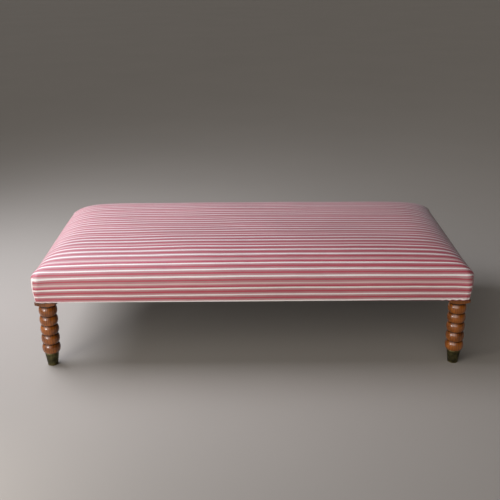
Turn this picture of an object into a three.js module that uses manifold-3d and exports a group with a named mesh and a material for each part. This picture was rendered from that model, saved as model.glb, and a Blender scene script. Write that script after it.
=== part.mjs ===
// A long upholstered footstool: a beech frame on four bobbin-turned legs with brass toe caps, webbed,
// stuffed and covered over the frame in striped ticking.
// Millimetres, +Z up. The origin is on the floor under the middle of the stool, +X runs along its
// length and -Y is its front.
import * as THREE from "three";
import { mergeVertices } from "three/addons/utils/BufferGeometryUtils.js";
import Module from "manifold-3d";

// Overall sizes, over the cloth
const LENGTH = 1200;
const DEPTH = 626;
const HEM_HEIGHT = 200; // floor to the lower edge of the cloth
const WALL_HEIGHT = 66; // from the hem to the widest line of the cloth, where the crown starts
const CROWN = 70; // from the widest line to the top of the pad
const HEM_DRAW_IN = 4; // how far the hem stands inside the widest line, on each side
const CROWN_END_REACH = 200; // from an end to where the pad reaches its full height
const PAD_CORNER_RADIUS = 20; // at the widest line, in plan
const HEM_CORNER_RADIUS = 9;

// Soft layers, from the outside in
const CLOTH = 1.2;
const HEM_TURN = 16; // cloth turned under the rails
const WADDING_TOP = 5;
const WADDING_EDGE = 5;
const WADDING_HEM = 2.6;
const WADDING_LIFT = 8; // the wadding stops this far above the hem
const CALICO = 1;
const CALICO_LIFT = 26;
const LAYER_GAP = 0.4;
const HESSIAN = 1;
const HESSIAN_INSET = 7; // from the outside of the rails
const BOTTOMING = 0.6;
const BOTTOMING_INSET = 6;

// Frame
const RAIL_DROP = 2.4; // below the widest line of the cloth
const RAIL_THICKNESS = 26;
const RAIL_ARRIS = 4; // bevel on the top outer edge, so that it doesn't cut the cloth
const TENON_THICKNESS = 12;
const TENON_SHOULDER = 11; // above and below each tenon
const JOINT_GAP = 0.3;
const CROSS_RAIL_THICKNESS = 22;
const CROSS_RAIL_DROP = 14; // below the top of the rails, clear of the webbing under a sitter
const CROSS_RAIL_LIFT = 4; // above the lower edge of the rails
const CROSS_RAIL_PLACE_SHARE = 0.35; // from the middle, of the way to the end rail
const STUB_TENON_LENGTH = 14;
const STUB_TENON_THICKNESS = 10;
const STUB_SHOULDER = 7; // above and below each stub tenon
const BRACE_THICKNESS = 22;
const BRACE_HEIGHT = 34;
const BRACE_DROP = 12; // below the top of the rails
const BRACE_CLEARANCE = 4; // between a brace and the leg post behind it

// Brace screws
const SCREW_DIAMETER = 4.5;
const SCREW_HEAD_DIAMETER = 9;
const SCREW_HEAD_HEIGHT = 3.2;
const SCREW_BITE = 18; // length in the rail
const SCREW_POCKET_WALL = 11; // brace left under the head
const SCREW_POINT = 4;
const SCREW_FROM_END = 10; // from the heel of the brace, along the rail
const SLOT_WIDTH = 1.2;
const SLOT_DEPTH = 1.2;

// Legs
const BLOCK_SETBACK = 1; // from the widest line of the cloth to the outer faces of a leg block
const BLOCK_WIDTH = 58; // square top of a leg, seen under the hem
const BLOCK_SHOWN = 12;
const POST_CORNER_RADIUS = 12; // rasped round on the outside corner, under the calico
const BEAD_COUNT = 5;
const BEAD_DIAMETER = 51.5;
const GROOVE_DIAMETER = 43;
const NECK_HEIGHT = 5; // between the block and the first bead
const PUMMEL_ROUND = 7; // quarter round where the square block is turned down
const PUMMEL_DIAMETER = 50;

// Brass toe caps
const CAP_HEIGHT = 40;
const CAP_TOP_DIAMETER = 40.5;
const CAP_FOOT_DIAMETER = 29;
const CAP_WALL = 1.5;
const CAP_BASE = 3;
const CAP_ARRIS = 1.2;
const CAP_GAP = 0.3;
const PIN_DIAMETER = 2.4;
const PIN_HEAD_DIAMETER = 4.6;
const PIN_HEAD_HEIGHT = 1.1;
const PIN_BITE = 11; // length in the wood
const PIN_HEIGHT = 26;

// Webbing
const WEB_WIDTH = 50;
const WEB_THICKNESS = 1.5;
const WEB_FOLD = 19; // end folded back on itself and tacked
const WEB_FROM_OUTSIDE = 5; // from the outside of the rail to the fold
const WEB_EASE = 3; // flat stretch past each crossing
const LONG_WEB_COUNT = 4;
const CROSS_WEB_COUNT = 9;

// How finely round and soft forms are divided
const TURN_SIDES = 24;
const BEAD_STEPS = 6;
const SMALL_SIDES = 12;
const CORNER_STEPS = 3;
const LONG_SIDE_SHARES = [-0.93, -0.8, -0.5, 0, 0.5, 0.8, 0.93];
const SHORT_SIDE_SHARES = [-0.78, -0.42, 0, 0.42, 0.78];
const FINE_CROWN_SHARES = [0.992, 0.98, 0.96, 0.935, 0.9, 0.84, 0.76, 0.66, 0.52, 0.36, 0.18];
const PLAIN_CROWN_SHARES = [0.98, 0.935, 0.84, 0.66, 0.36];
const CROWN_POWER = 4; // higher is flatter in the middle
const CROWN_ROUNDNESS = 0.63; // lower is squarer at the edge
const OVERRUN = 5; // cuts run this far past the faces that they open

// Sizes that follow from these
const EDGE_HEIGHT = HEM_HEIGHT + WALL_HEIGHT; // floor to the widest line of the cloth
const COVER_DEPTH = CLOTH + LAYER_GAP; // from the face of the cloth to the wadding
// From the face of the cloth at the hem to the frame.
const HEM_DEPTH = COVER_DEPTH + WADDING_HEM + CALICO + 2 * LAYER_GAP;
const REBATE = HEM_DRAW_IN + HEM_DEPTH - BLOCK_SETBACK; // a leg's outer faces step in by this above the hem
const LEG_X = LENGTH / 2 - BLOCK_SETBACK - BLOCK_WIDTH / 2;
const LEG_Y = DEPTH / 2 - BLOCK_SETBACK - BLOCK_WIDTH / 2;
const FRAME_HALF_X = LEG_X + BLOCK_WIDTH / 2 - REBATE; // outside of the end rails
const FRAME_HALF_Y = LEG_Y + BLOCK_WIDTH / 2 - REBATE;
const POST_WIDTH = BLOCK_WIDTH - REBATE;
const POST_INNER_X = FRAME_HALF_X - POST_WIDTH;
const POST_INNER_Y = FRAME_HALF_Y - POST_WIDTH;
const RAIL_BOTTOM = HEM_HEIGHT + CLOTH + LAYER_GAP;
const RAIL_TOP = EDGE_HEIGHT - RAIL_DROP;
const RAIL_HEIGHT = RAIL_TOP - RAIL_BOTTOM;
const RAIL_INNER_X = FRAME_HALF_X - RAIL_THICKNESS;
const RAIL_INNER_Y = FRAME_HALF_Y - RAIL_THICKNESS;
const TENON_LENGTH = POST_WIDTH - (RAIL_THICKNESS + TENON_THICKNESS) / 2 - JOINT_GAP; // two meet in a post
const TENON_BOTTOM = RAIL_BOTTOM + TENON_SHOULDER;
const TENON_HEIGHT = RAIL_HEIGHT - 2 * TENON_SHOULDER;
const CROSS_RAIL_TOP = RAIL_TOP - CROSS_RAIL_DROP;
const CROSS_RAIL_HEIGHT = RAIL_HEIGHT - CROSS_RAIL_DROP - CROSS_RAIL_LIFT;
const CROSS_RAIL_PLACE = RAIL_INNER_X * CROSS_RAIL_PLACE_SHARE;
const STUB_BOTTOM = CROSS_RAIL_TOP - CROSS_RAIL_HEIGHT + STUB_SHOULDER;
const STUB_TENON_HEIGHT = CROSS_RAIL_HEIGHT - 2 * STUB_SHOULDER;
const BRACE_TOP = RAIL_TOP - BRACE_DROP;
const BRACE_FACE = POST_INNER_X + POST_INNER_Y - BRACE_CLEARANCE * Math.SQRT2; // x + y on its outer face
const BRACE_BACK = BRACE_FACE - BRACE_THICKNESS * Math.SQRT2; // x + y on its inner face
const BLOCK_TOP = HEM_HEIGHT - LAYER_GAP;
const BLOCK_BOTTOM = BLOCK_TOP - BLOCK_SHOWN;
const BEADS_TOP = BLOCK_BOTTOM - NECK_HEIGHT;
const BEADS_BOTTOM = CAP_HEIGHT + CAP_GAP;
const WEB_BOTTOM = RAIL_TOP + JOINT_GAP;
const WEB_LIFT = (WEB_THICKNESS + LAYER_GAP) / 2; // how far each web gives way at a crossing
const HESSIAN_BOTTOM = WEB_BOTTOM + 2 * WEB_THICKNESS + LAYER_GAP;
const PAD_BOTTOM = HESSIAN_BOTTOM + HESSIAN + LAYER_GAP;

const MATERIALS = {
  turned_wood: { color: "#8a5526", roughness: 0.32, metalness: 0 },
  frame_wood: { color: "#c9a778", roughness: 0.7, metalness: 0 },
  brass: { color: "#5b5230", roughness: 0.42, metalness: 1 },
  screw_steel: { color: "#8f9294", roughness: 0.4, metalness: 1 },
  jute: { color: "#b3935f", roughness: 0.95, metalness: 0 },
  hessian: { color: "#a98d62", roughness: 0.95, metalness: 0 },
  hair: { color: "#4a3a2c", roughness: 1, metalness: 0 },
  calico: { color: "#e2d8c2", roughness: 0.9, metalness: 0 },
  wadding: { color: "#eeece4", roughness: 1, metalness: 0 },
  ticking: { color: "#b56a74", roughness: 0.85, metalness: 0 },
  bottoming: { color: "#222222", roughness: 0.95, metalness: 0 },
};

const wasm = await Module();
wasm.setup();

// Solids and meshes

function toSolid(geometry) {
  const bare = geometry.clone();
  bare.deleteAttribute("normal");
  bare.deleteAttribute("uv");
  const merged = mergeVertices(bare);
  return new wasm.Manifold(
    new wasm.Mesh({
      numProp: 3,
      vertProperties: new Float32Array(merged.attributes.position.array),
      triVerts: new Uint32Array(merged.index.array),
    }),
  );
}

function toGeometry(solid) {
  const mesh = solid.getMesh();
  const geometry = new THREE.BufferGeometry();
  const points = new THREE.BufferAttribute(new Float32Array(mesh.vertProperties), 3);
  geometry.setAttribute("position", points);
  geometry.setIndex(new THREE.BufferAttribute(new Uint32Array(mesh.triVerts), 1));
  geometry.computeVertexNormals();
  return geometry;
}

const root = new THREE.Group();

function addPiece(name, solid, finish) {
  const material = new THREE.MeshStandardMaterial(MATERIALS[finish]);
  const mesh = new THREE.Mesh(toGeometry(solid), material);
  mesh.name = name;
  root.add(mesh);
}

// A block between two opposite corners, given in any order.
function block(a, b) {
  const low = [0, 1, 2].map((i) => Math.min(a[i], b[i]));
  const high = [0, 1, 2].map((i) => Math.max(a[i], b[i]));
  const size = high.map((value, i) => value - low[i]);
  const geometry = new THREE.BoxGeometry(...size);
  geometry.translate(...low.map((value, i) => value + size[i] / 2));
  return toSolid(geometry);
}

// A body of revolution about +Z. The profile is a list of [radius, height] from bottom to top.
function turned(profile, sides = TURN_SIDES) {
  const points = profile.map(([radius, height]) => new THREE.Vector2(radius, height));
  return toSolid(new THREE.LatheGeometry(points, sides).rotateX(Math.PI / 2));
}

// An outline in plan, raised from one height to another.
function raised(outline, bottom, top) {
  const shape = new THREE.Shape(outline.map(([x, y]) => new THREE.Vector2(x, y)));
  const geometry = new THREE.ExtrudeGeometry(shape, { depth: top - bottom, bevelEnabled: false });
  return toSolid(geometry.translate(0, 0, bottom));
}

// Turns a solid that points along +Z so that it points along the direction given.
function pointed(solid, direction, place) {
  const turn = new THREE.Quaternion().setFromUnitVectors(new THREE.Vector3(0, 0, 1), direction);
  const matrix = new THREE.Matrix4().compose(place, turn, new THREE.Vector3(1, 1, 1));
  return toSolid(toGeometry(solid).applyMatrix4(matrix));
}

// Four corners: a name, and the signs of x and y there.
const CORNERS = [
  ["front_left", -1, -1],
  ["front_right", 1, -1],
  ["back_left", -1, 1],
  ["back_right", 1, 1],
];

// Legs

// Half sections through the beads, from the toe cap up. Each bead is half an ellipse on the groove radius.
function beadProfile() {
  const profile = [];
  const pitch = (BEADS_TOP - BEADS_BOTTOM) / BEAD_COUNT;
  for (let bead = 0; bead < BEAD_COUNT; bead++) {
    for (let step = bead ? 1 : 0; step <= BEAD_STEPS; step++) {
      const angle = (Math.PI * step) / BEAD_STEPS;
      const radius = (GROOVE_DIAMETER + (BEAD_DIAMETER - GROOVE_DIAMETER) * Math.sin(angle)) / 2;
      profile.push([radius, BEADS_BOTTOM + pitch * (bead + (1 - Math.cos(angle)) / 2)]);
    }
  }
  return profile;
}

// The turned shaft, which tapers into the toe cap at the bottom and ends inside the block.
function turnedShaft() {
  const spigotTop = CAP_TOP_DIAMETER / 2 - CAP_WALL - CAP_GAP;
  const spigotFoot = CAP_FOOT_DIAMETER / 2 - CAP_WALL - CAP_GAP;
  return turned([
    [0, CAP_BASE + CAP_GAP],
    [spigotFoot, CAP_BASE + CAP_GAP],
    [spigotTop, BEADS_BOTTOM],
    ...beadProfile(),
    [PUMMEL_DIAMETER / 2, BLOCK_BOTTOM],
    [PUMMEL_DIAMETER / 2, BLOCK_TOP],
    [0, BLOCK_TOP],
  ]);
}

// The square top of the leg, with its lower end turned to a quarter round.
function pummel() {
  const half = BLOCK_WIDTH / 2;
  const reach = half * Math.SQRT2 + OVERRUN;
  const profile = [
    [0, BLOCK_BOTTOM],
    [PUMMEL_DIAMETER / 2, BLOCK_BOTTOM],
  ];
  for (let step = 1; step <= BEAD_STEPS / 2; step++) {
    const angle = (Math.PI * step) / BEAD_STEPS;
    const radius = PUMMEL_DIAMETER / 2 + (half * Math.SQRT2 - PUMMEL_DIAMETER / 2) * Math.sin(angle);
    profile.push([radius, BLOCK_BOTTOM + PUMMEL_ROUND * (1 - Math.cos(angle))]);
  }
  profile.push([reach, BLOCK_BOTTOM + PUMMEL_ROUND], [reach, BLOCK_TOP], [0, BLOCK_TOP]);
  const square = block([-half, -half, BLOCK_BOTTOM], [half, half, BLOCK_TOP]);
  return square.intersect(turned(profile));
}

// The post above the hem, in plan, at the corner where x > 0 and y > 0.
function postOutline() {
  const x = FRAME_HALF_X - POST_CORNER_RADIUS;
  const y = FRAME_HALF_Y - POST_CORNER_RADIUS;
  const outline = [[POST_INNER_X, POST_INNER_Y], [FRAME_HALF_X, POST_INNER_Y]];
  for (let step = 0; step <= CORNER_STEPS; step++) {
    const angle = (Math.PI * step) / (2 * CORNER_STEPS);
    outline.push([x + POST_CORNER_RADIUS * Math.cos(angle), y + POST_CORNER_RADIUS * Math.sin(angle)]);
  }
  outline.push([POST_INNER_X, FRAME_HALF_Y]);
  return outline;
}

// A leg at x > 0, y > 0, in its own place. Its post holds one mortise for each of the two rails.
function leg() {
  const middleX = FRAME_HALF_X - RAIL_THICKNESS / 2;
  const middleY = FRAME_HALF_Y - RAIL_THICKNESS / 2;
  const half = TENON_THICKNESS / 2 + JOINT_GAP;
  const low = TENON_BOTTOM - JOINT_GAP;
  const high = TENON_BOTTOM + TENON_HEIGHT + JOINT_GAP;
  const post = raised(postOutline(), BLOCK_TOP - OVERRUN, RAIL_TOP);
  const longMortise = block(
    [POST_INNER_X - OVERRUN, middleY - half, low],
    [POST_INNER_X + TENON_LENGTH + JOINT_GAP, middleY + half, high],
  );
  const endMortise = block(
    [middleX - half, POST_INNER_Y - OVERRUN, low],
    [middleX + half, POST_INNER_Y + TENON_LENGTH + JOINT_GAP, high],
  );
  return turnedShaft()
    .add(pummel())
    .translate([LEG_X, LEG_Y, 0])
    .add(post)
    .subtract(longMortise)
    .subtract(endMortise);
}

// Brass toe caps, each held by one round-headed pin on the side that faces the middle of the stool

function toeCap() {
  const footInner = CAP_FOOT_DIAMETER / 2 - CAP_WALL;
  const topInner = CAP_TOP_DIAMETER / 2 - CAP_WALL;
  return turned([
    [0, 0],
    [CAP_FOOT_DIAMETER / 2 - CAP_ARRIS, 0],
    [CAP_FOOT_DIAMETER / 2, CAP_ARRIS],
    [CAP_TOP_DIAMETER / 2, CAP_HEIGHT],
    [topInner, CAP_HEIGHT],
    [footInner, CAP_BASE],
    [0, CAP_BASE],
  ]);
}

// The pin points along +Z, with the underside of its head at height zero.
function toePin() {
  const radius = PIN_DIAMETER / 2;
  const head = PIN_HEAD_DIAMETER / 2;
  const length = CAP_WALL + CAP_GAP + PIN_BITE;
  const profile = [
    [0, -PIN_HEAD_HEIGHT],
    [head * Math.SQRT1_2, -PIN_HEAD_HEIGHT * Math.SQRT1_2],
    [head, 0],
    [radius, 0],
    [radius, length - PIN_DIAMETER],
    [0, length],
  ];
  return turned(profile, SMALL_SIDES);
}

// The hole for the pin, through the wall of the cap and into the wood.
function pinHole() {
  const radius = PIN_DIAMETER / 2 + JOINT_GAP;
  const length = CAP_WALL + CAP_GAP + PIN_BITE + JOINT_GAP;
  return turned([[0, -OVERRUN], [radius, -OVERRUN], [radius, length], [0, length]], SMALL_SIDES);
}

// The outside radius of a toe cap at the height of its pin.
function capRadiusAtPin() {
  const share = (PIN_HEIGHT - CAP_ARRIS) / (CAP_HEIGHT - CAP_ARRIS);
  return (CAP_FOOT_DIAMETER + (CAP_TOP_DIAMETER - CAP_FOOT_DIAMETER) * share) / 2;
}

// Rails

const tenonLow = TENON_BOTTOM;
const tenonHigh = TENON_BOTTOM + TENON_HEIGHT;

// A rail at y > 0 that runs along x, between two posts, with a tenon at each end.
// halfY is the outside of the rail and postX the face of the post that it meets.
function railAlongX(postX, halfY) {
  const shoulder = postX - JOINT_GAP;
  const tip = postX + TENON_LENGTH;
  const middle = halfY - RAIL_THICKNESS / 2;
  const body = block([-shoulder, halfY - RAIL_THICKNESS, RAIL_BOTTOM], [shoulder, halfY, RAIL_TOP]);
  const tenons = block(
    [-tip, middle - TENON_THICKNESS / 2, tenonLow],
    [tip, middle + TENON_THICKNESS / 2, tenonHigh],
  );
  const arris = new THREE.Shape([
    new THREE.Vector2(halfY - RAIL_ARRIS, RAIL_TOP + OVERRUN),
    new THREE.Vector2(halfY - RAIL_ARRIS, RAIL_TOP),
    new THREE.Vector2(halfY, RAIL_TOP - RAIL_ARRIS),
    new THREE.Vector2(halfY + OVERRUN, RAIL_TOP - RAIL_ARRIS),
    new THREE.Vector2(halfY + OVERRUN, RAIL_TOP + OVERRUN),
  ]);
  // The outline lies in y and z, and runs along x.
  const run = new THREE.ExtrudeGeometry(arris, { depth: 2 * (shoulder + OVERRUN), bevelEnabled: false })
    .rotateZ(Math.PI / 2)
    .rotateY(Math.PI / 2);
  run.computeBoundingBox();
  run.translate(-shoulder - OVERRUN - run.boundingBox.min.x, 0, 0);
  return body.add(tenons).subtract(toSolid(run));
}

function crossRail(x) {
  const half = CROSS_RAIL_THICKNESS / 2;
  const end = RAIL_INNER_Y - JOINT_GAP;
  const tip = RAIL_INNER_Y + STUB_TENON_LENGTH;
  const body = block([x - half, -end, CROSS_RAIL_TOP - CROSS_RAIL_HEIGHT], [x + half, end, CROSS_RAIL_TOP]);
  return body.add(stubTenon(x, tip, 0));
}

function stubTenon(x, tip, clearance) {
  const half = STUB_TENON_THICKNESS / 2 + clearance;
  return block(
    [x - half, -tip - clearance, STUB_BOTTOM - clearance],
    [x + half, tip + clearance, STUB_BOTTOM + STUB_TENON_HEIGHT + clearance],
  );
}

const CROSS_RAILS = [
  ["left", -CROSS_RAIL_PLACE],
  ["right", CROSS_RAIL_PLACE],
];

// Corner braces and their screws, at the corner where x > 0 and y > 0

// Where the screws go in: the underside of each head, and the way that it points. One goes into the end
// rail along x, the other into the long rail along y.
function screwPlaces() {
  const middle = BRACE_TOP - BRACE_HEIGHT / 2;
  const alongX = new THREE.Vector3(
    RAIL_INNER_X - SCREW_POCKET_WALL,
    BRACE_FACE - RAIL_INNER_X - SCREW_FROM_END,
    middle,
  );
  const alongY = new THREE.Vector3(
    BRACE_FACE - RAIL_INNER_Y - SCREW_FROM_END,
    RAIL_INNER_Y - SCREW_POCKET_WALL,
    middle,
  );
  return [
    ["end", alongX, new THREE.Vector3(1, 0, 0)],
    ["side", alongY, new THREE.Vector3(0, 1, 0)],
  ];
}

// A countersunk wood screw that points along +Z, with the top of its head at height zero.
function screw() {
  const head = SCREW_HEAD_DIAMETER / 2;
  const shank = SCREW_DIAMETER / 2;
  const length = SCREW_POCKET_WALL + SCREW_BITE;
  const body = turned(
    [[0, 0], [head, 0], [shank, SCREW_HEAD_HEIGHT], [shank, length - SCREW_POINT], [0, length]],
    SMALL_SIDES,
  );
  const half = SLOT_WIDTH / 2;
  const slot = block([-head - OVERRUN, -half, -OVERRUN], [head + OVERRUN, half, SLOT_DEPTH]);
  return body.subtract(slot);
}

// The room that a screw needs: its hole, its countersink and the pocket that lets the head in.
function screwRoom() {
  const head = SCREW_HEAD_DIAMETER / 2 + JOINT_GAP;
  const shank = SCREW_DIAMETER / 2 + JOINT_GAP;
  const length = SCREW_POCKET_WALL + SCREW_BITE + JOINT_GAP;
  const pocket = BRACE_THICKNESS + OVERRUN;
  return turned(
    [[0, -pocket], [head, -pocket], [head, 0], [shank, SCREW_HEAD_HEIGHT], [shank, length], [0, length]],
    SMALL_SIDES,
  );
}

function brace() {
  const endX = RAIL_INNER_X - JOINT_GAP;
  const endY = RAIL_INNER_Y - JOINT_GAP;
  let solid = raised(
    [
      [endX, BRACE_FACE - endX],
      [BRACE_FACE - endY, endY],
      [BRACE_BACK - endY, endY],
      [endX, BRACE_BACK - endX],
    ],
    BRACE_TOP - BRACE_HEIGHT,
    BRACE_TOP,
  );
  for (const [, place, direction] of screwPlaces()) {
    solid = solid.subtract(pointed(screwRoom(), direction, place));
  }
  return solid;
}

// The holes that all eight brace screws make in the rails.
function screwHoles() {
  let holes = null;
  for (const [, signX, signY] of CORNERS) {
    for (const [, place, direction] of screwPlaces()) {
      const hole = mirrored(pointed(screwRoom(), direction, place), signX, signY);
      holes = holes ? holes.add(hole) : hole;
    }
  }
  return holes;
}

// A copy on another corner of the stool. A piece of the corner x > 0, y > 0 is mirrored across x or y.
function mirrored(solid, signX, signY) {
  let copy = solid;
  if (signX < 0) copy = copy.mirror([1, 0, 0]);
  if (signY < 0) copy = copy.mirror([0, 1, 0]);
  return copy;
}

// Webbing

// The places of the strips across an opening, with the same gap between them as beside the rails.
function spread(count, opening) {
  const pitch = (opening + WEB_WIDTH) / (count + 1);
  return Array.from({ length: count }, (_, i) => (i + 1) * pitch - (opening + WEB_WIDTH) / 2);
}

const LONG_PLACES = spread(LONG_WEB_COUNT, 2 * RAIL_INNER_Y);
const CROSS_PLACES = spread(CROSS_WEB_COUNT, 2 * RAIL_INNER_X);

// One strip: an outline in its length and height, as wide as the web. It lies flat on the rails from its
// ends to the seat, gives way up or down at each crossing, and is folded back on itself at both ends.
function web(halfLength, seat, crossings, firstSign) {
  const reach = WEB_WIDTH / 2 + WEB_EASE;
  const path = [[-seat, 0]];
  crossings.forEach((place, i) => {
    const lift = (i % 2 ? -firstSign : firstSign) * WEB_LIFT;
    path.push([place - reach, lift], [place + reach, lift]);
  });
  path.push([seat, 0]);
  const upper = path.map(([along, height]) => [along, height + WEB_THICKNESS]).reverse();
  const fold = halfLength - WEB_FOLD;
  const outline = [
    [-halfLength, 0],
    ...path,
    [halfLength, 0],
    [halfLength, 2 * WEB_THICKNESS],
    [fold, 2 * WEB_THICKNESS],
    [fold, WEB_THICKNESS],
    ...upper,
    [-fold, WEB_THICKNESS],
    [-fold, 2 * WEB_THICKNESS],
    [-halfLength, 2 * WEB_THICKNESS],
  ];
  const shape = new THREE.Shape(outline.map(([along, height]) => new THREE.Vector2(along, height)));
  return new THREE.ExtrudeGeometry(shape, { depth: WEB_WIDTH, bevelEnabled: false })
    .translate(0, 0, -WEB_WIDTH / 2)
    .rotateX(Math.PI / 2);
}

// Soft layers

// The share of the crown that stands at a distance in from an edge, rising over a reach.
function rise(distance, reach) {
  const away = 1 - Math.min(Math.max(distance / reach, 0), 1);
  return (1 - away ** CROWN_POWER) ** CROWN_ROUNDNESS;
}

// Half sizes and corner radius of the face of the cloth at a height between the hem and the widest line.
function wallAt(height) {
  const up = Math.min((height - HEM_HEIGHT) / (EDGE_HEIGHT - HEM_HEIGHT), 1);
  const inset = HEM_DRAW_IN * (1 - Math.sin((up * Math.PI) / 2));
  const radius = HEM_CORNER_RADIUS + (PAD_CORNER_RADIUS - HEM_CORNER_RADIUS) * up;
  return { halfX: LENGTH / 2 - inset, halfY: DEPTH / 2 - inset, radius, up };
}

// Points round a rectangle with rounded corners, anticlockwise from the right-hand side.
function roundedRectangle(halfX, halfY, radius) {
  const points = [];
  const x = halfX - radius;
  const y = halfY - radius;
  const arc = (centreX, centreY, quarter) => {
    for (let step = 0; step <= CORNER_STEPS; step++) {
      const angle = (Math.PI / 2) * (quarter + step / CORNER_STEPS);
      points.push([centreX + radius * Math.cos(angle), centreY + radius * Math.sin(angle)]);
    }
  };
  SHORT_SIDE_SHARES.forEach((share) => points.push([halfX, share * y]));
  arc(x, y, 0);
  LONG_SIDE_SHARES.forEach((share) => points.push([-share * x, halfY]));
  arc(-x, y, 1);
  SHORT_SIDE_SHARES.forEach((share) => points.push([-halfX, -share * y]));
  arc(-x, -y, 2);
  LONG_SIDE_SHARES.forEach((share) => points.push([share * x, -halfY]));
  arc(x, -y, 3);
  return points;
}

// One skin of the pad as a list of rings from its lower edge to the crown. side is its depth behind the
// face of the cloth at a wall height, and top its depth under the crown.
function skin(heights, crownShares, side, top) {
  const rings = heights.map((height) => {
    const wall = wallAt(height);
    const depth = side(wall.up);
    const radius = Math.max(wall.radius - depth, CLOTH);
    return roundedRectangle(wall.halfX - depth, wall.halfY - depth, radius).map(([x, y]) => [x, y, height]);
  });
  const depth = side(1);
  const halfX = LENGTH / 2 - depth;
  const halfY = DEPTH / 2 - depth;
  const edge = roundedRectangle(halfX, halfY, PAD_CORNER_RADIUS - depth);
  for (const share of [...crownShares, 0]) {
    rings.push(
      edge.map(([edgeX, edgeY]) => {
        const x = edgeX * share;
        const y = edgeY * share;
        const crown = rise(halfX - Math.abs(x), CROWN_END_REACH) * rise(halfY - Math.abs(y), halfY);
        return [x, y, EDGE_HEIGHT + (CROWN - top) * crown];
      }),
    );
  }
  return rings;
}

// The triangles of one skin, whose last ring is a pole with all its points in one place. first is the
// number of the skin's first point. Both skins of a layer split their quads along the same diagonal.
function skinFaces(rings, first, facesOut) {
  const count = rings[0].length;
  const faces = [];
  const triangle = (a, b, c) => faces.push(...(facesOut ? [a, b, c] : [a, c, b]));
  for (let row = 0; row + 1 < rings.length; row++) {
    const here = first + row * count;
    const next = here + count;
    const atPole = row + 2 === rings.length;
    for (let i = 0; i < count; i++) {
      const j = (i + 1) % count;
      triangle(here + i, here + j, atPole ? next : next + j);
      if (!atPole) triangle(here + i, next + j, next + i);
    }
  }
  return faces;
}

// A closed body from two skins that share their number of points round. The first faces out, and the
// lowest rings are joined by a rim. Without a second skin, the lowest ring is closed by a flat foot.
function layer(outer, inner) {
  const count = outer[0].length;
  const foot = outer[0].map(([, , height]) => [0, 0, height]);
  const back = inner ?? [outer[0], foot];
  const first = outer.length * count;
  const faces = [...skinFaces(outer, 0, true), ...skinFaces(back, first, false)];
  for (let i = 0; inner && i < count; i++) {
    const j = (i + 1) % count;
    faces.push(first + i, first + j, j, first + i, j, i);
  }
  const points = new Float32Array([...outer, ...back].flat(2));
  const geometry = new THREE.BufferGeometry();
  geometry.setAttribute("position", new THREE.BufferAttribute(points, 3));
  geometry.setIndex(faces);
  return toSolid(geometry);
}

// The lower edges of the layers. A skin has a ring at each one that it passes, so that no skin cuts
// across the hollow of its neighbour.
const CALICO_RINGS = [HEM_HEIGHT + CALICO_LIFT, EDGE_HEIGHT];
const WADDING_RINGS = [HEM_HEIGHT + WADDING_LIFT, ...CALICO_RINGS];
const COVER_RINGS = [HEM_HEIGHT, ...WADDING_RINGS];

// The top cover, with its hem turned under the rails and cut round the leg posts.
function topCover() {
  const hem = wallAt(HEM_HEIGHT);
  const plan = (inset) =>
    raised(
      roundedRectangle(hem.halfX - inset, hem.halfY - inset, HEM_CORNER_RADIUS),
      HEM_HEIGHT - OVERRUN,
      HEM_HEIGHT + OVERRUN,
    );
  const strip = block([-LENGTH, -DEPTH, HEM_HEIGHT], [LENGTH, DEPTH, HEM_HEIGHT + CLOTH]);
  let cover = layer(
    skin(COVER_RINGS, FINE_CROWN_SHARES, () => 0, 0),
    skin(COVER_RINGS, PLAIN_CROWN_SHARES, () => CLOTH, CLOTH),
  ).add(plan(0).subtract(plan(HEM_TURN)).intersect(strip));
  for (const [, signX, signY] of CORNERS) {
    const post = block(
      [POST_INNER_X - JOINT_GAP, POST_INNER_Y - JOINT_GAP, HEM_HEIGHT - OVERRUN],
      [FRAME_HALF_X + JOINT_GAP, FRAME_HALF_Y + JOINT_GAP, HEM_HEIGHT + OVERRUN],
    );
    cover = cover.subtract(mirrored(post, signX, signY));
  }
  return cover;
}

// Depths of the inner skins behind the face of the cloth, from the hem to the widest line.
const waddingInner = (up) => COVER_DEPTH + WADDING_HEM + (WADDING_EDGE - WADDING_HEM) * up;
const calicoOuter = (up) => waddingInner(up) + LAYER_GAP;
const calicoInner = (up) => calicoOuter(up) + CALICO;
const padOuter = (up) => calicoInner(up) + LAYER_GAP;

function wadding() {
  return layer(
    skin(WADDING_RINGS, PLAIN_CROWN_SHARES, () => COVER_DEPTH, COVER_DEPTH),
    skin(WADDING_RINGS, PLAIN_CROWN_SHARES, waddingInner, COVER_DEPTH + WADDING_TOP),
  );
}

function calicoCover() {
  const depth = COVER_DEPTH + WADDING_TOP + LAYER_GAP;
  return layer(
    skin(CALICO_RINGS, PLAIN_CROWN_SHARES, calicoOuter, depth),
    skin(CALICO_RINGS, PLAIN_CROWN_SHARES, calicoInner, depth + CALICO),
  );
}

// The stuffing, flat where it lies on the hessian.
function hairPad() {
  const depth = COVER_DEPTH + WADDING_TOP + CALICO + 2 * LAYER_GAP;
  const whole = layer(skin([EDGE_HEIGHT - OVERRUN, EDGE_HEIGHT], PLAIN_CROWN_SHARES, padOuter, depth));
  return whole.subtract(block([-LENGTH, -DEPTH, 0], [LENGTH, DEPTH, PAD_BOTTOM]));
}

// The cloth that closes the underside, notched round the leg blocks.
function bottoming() {
  const x = FRAME_HALF_X - BOTTOMING_INSET;
  const y = FRAME_HALF_Y - BOTTOMING_INSET;
  const notchX = POST_INNER_X - JOINT_GAP;
  const notchY = POST_INNER_Y - JOINT_GAP;
  const outline = [
    [x, -notchY], [x, notchY], [notchX, notchY], [notchX, y], [-notchX, y], [-notchX, notchY],
    [-x, notchY], [-x, -notchY], [-notchX, -notchY], [-notchX, -y], [notchX, -y], [notchX, -notchY],
  ];
  return raised(outline, HEM_HEIGHT - LAYER_GAP - BOTTOMING, HEM_HEIGHT - LAYER_GAP);
}

// Assembly

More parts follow.
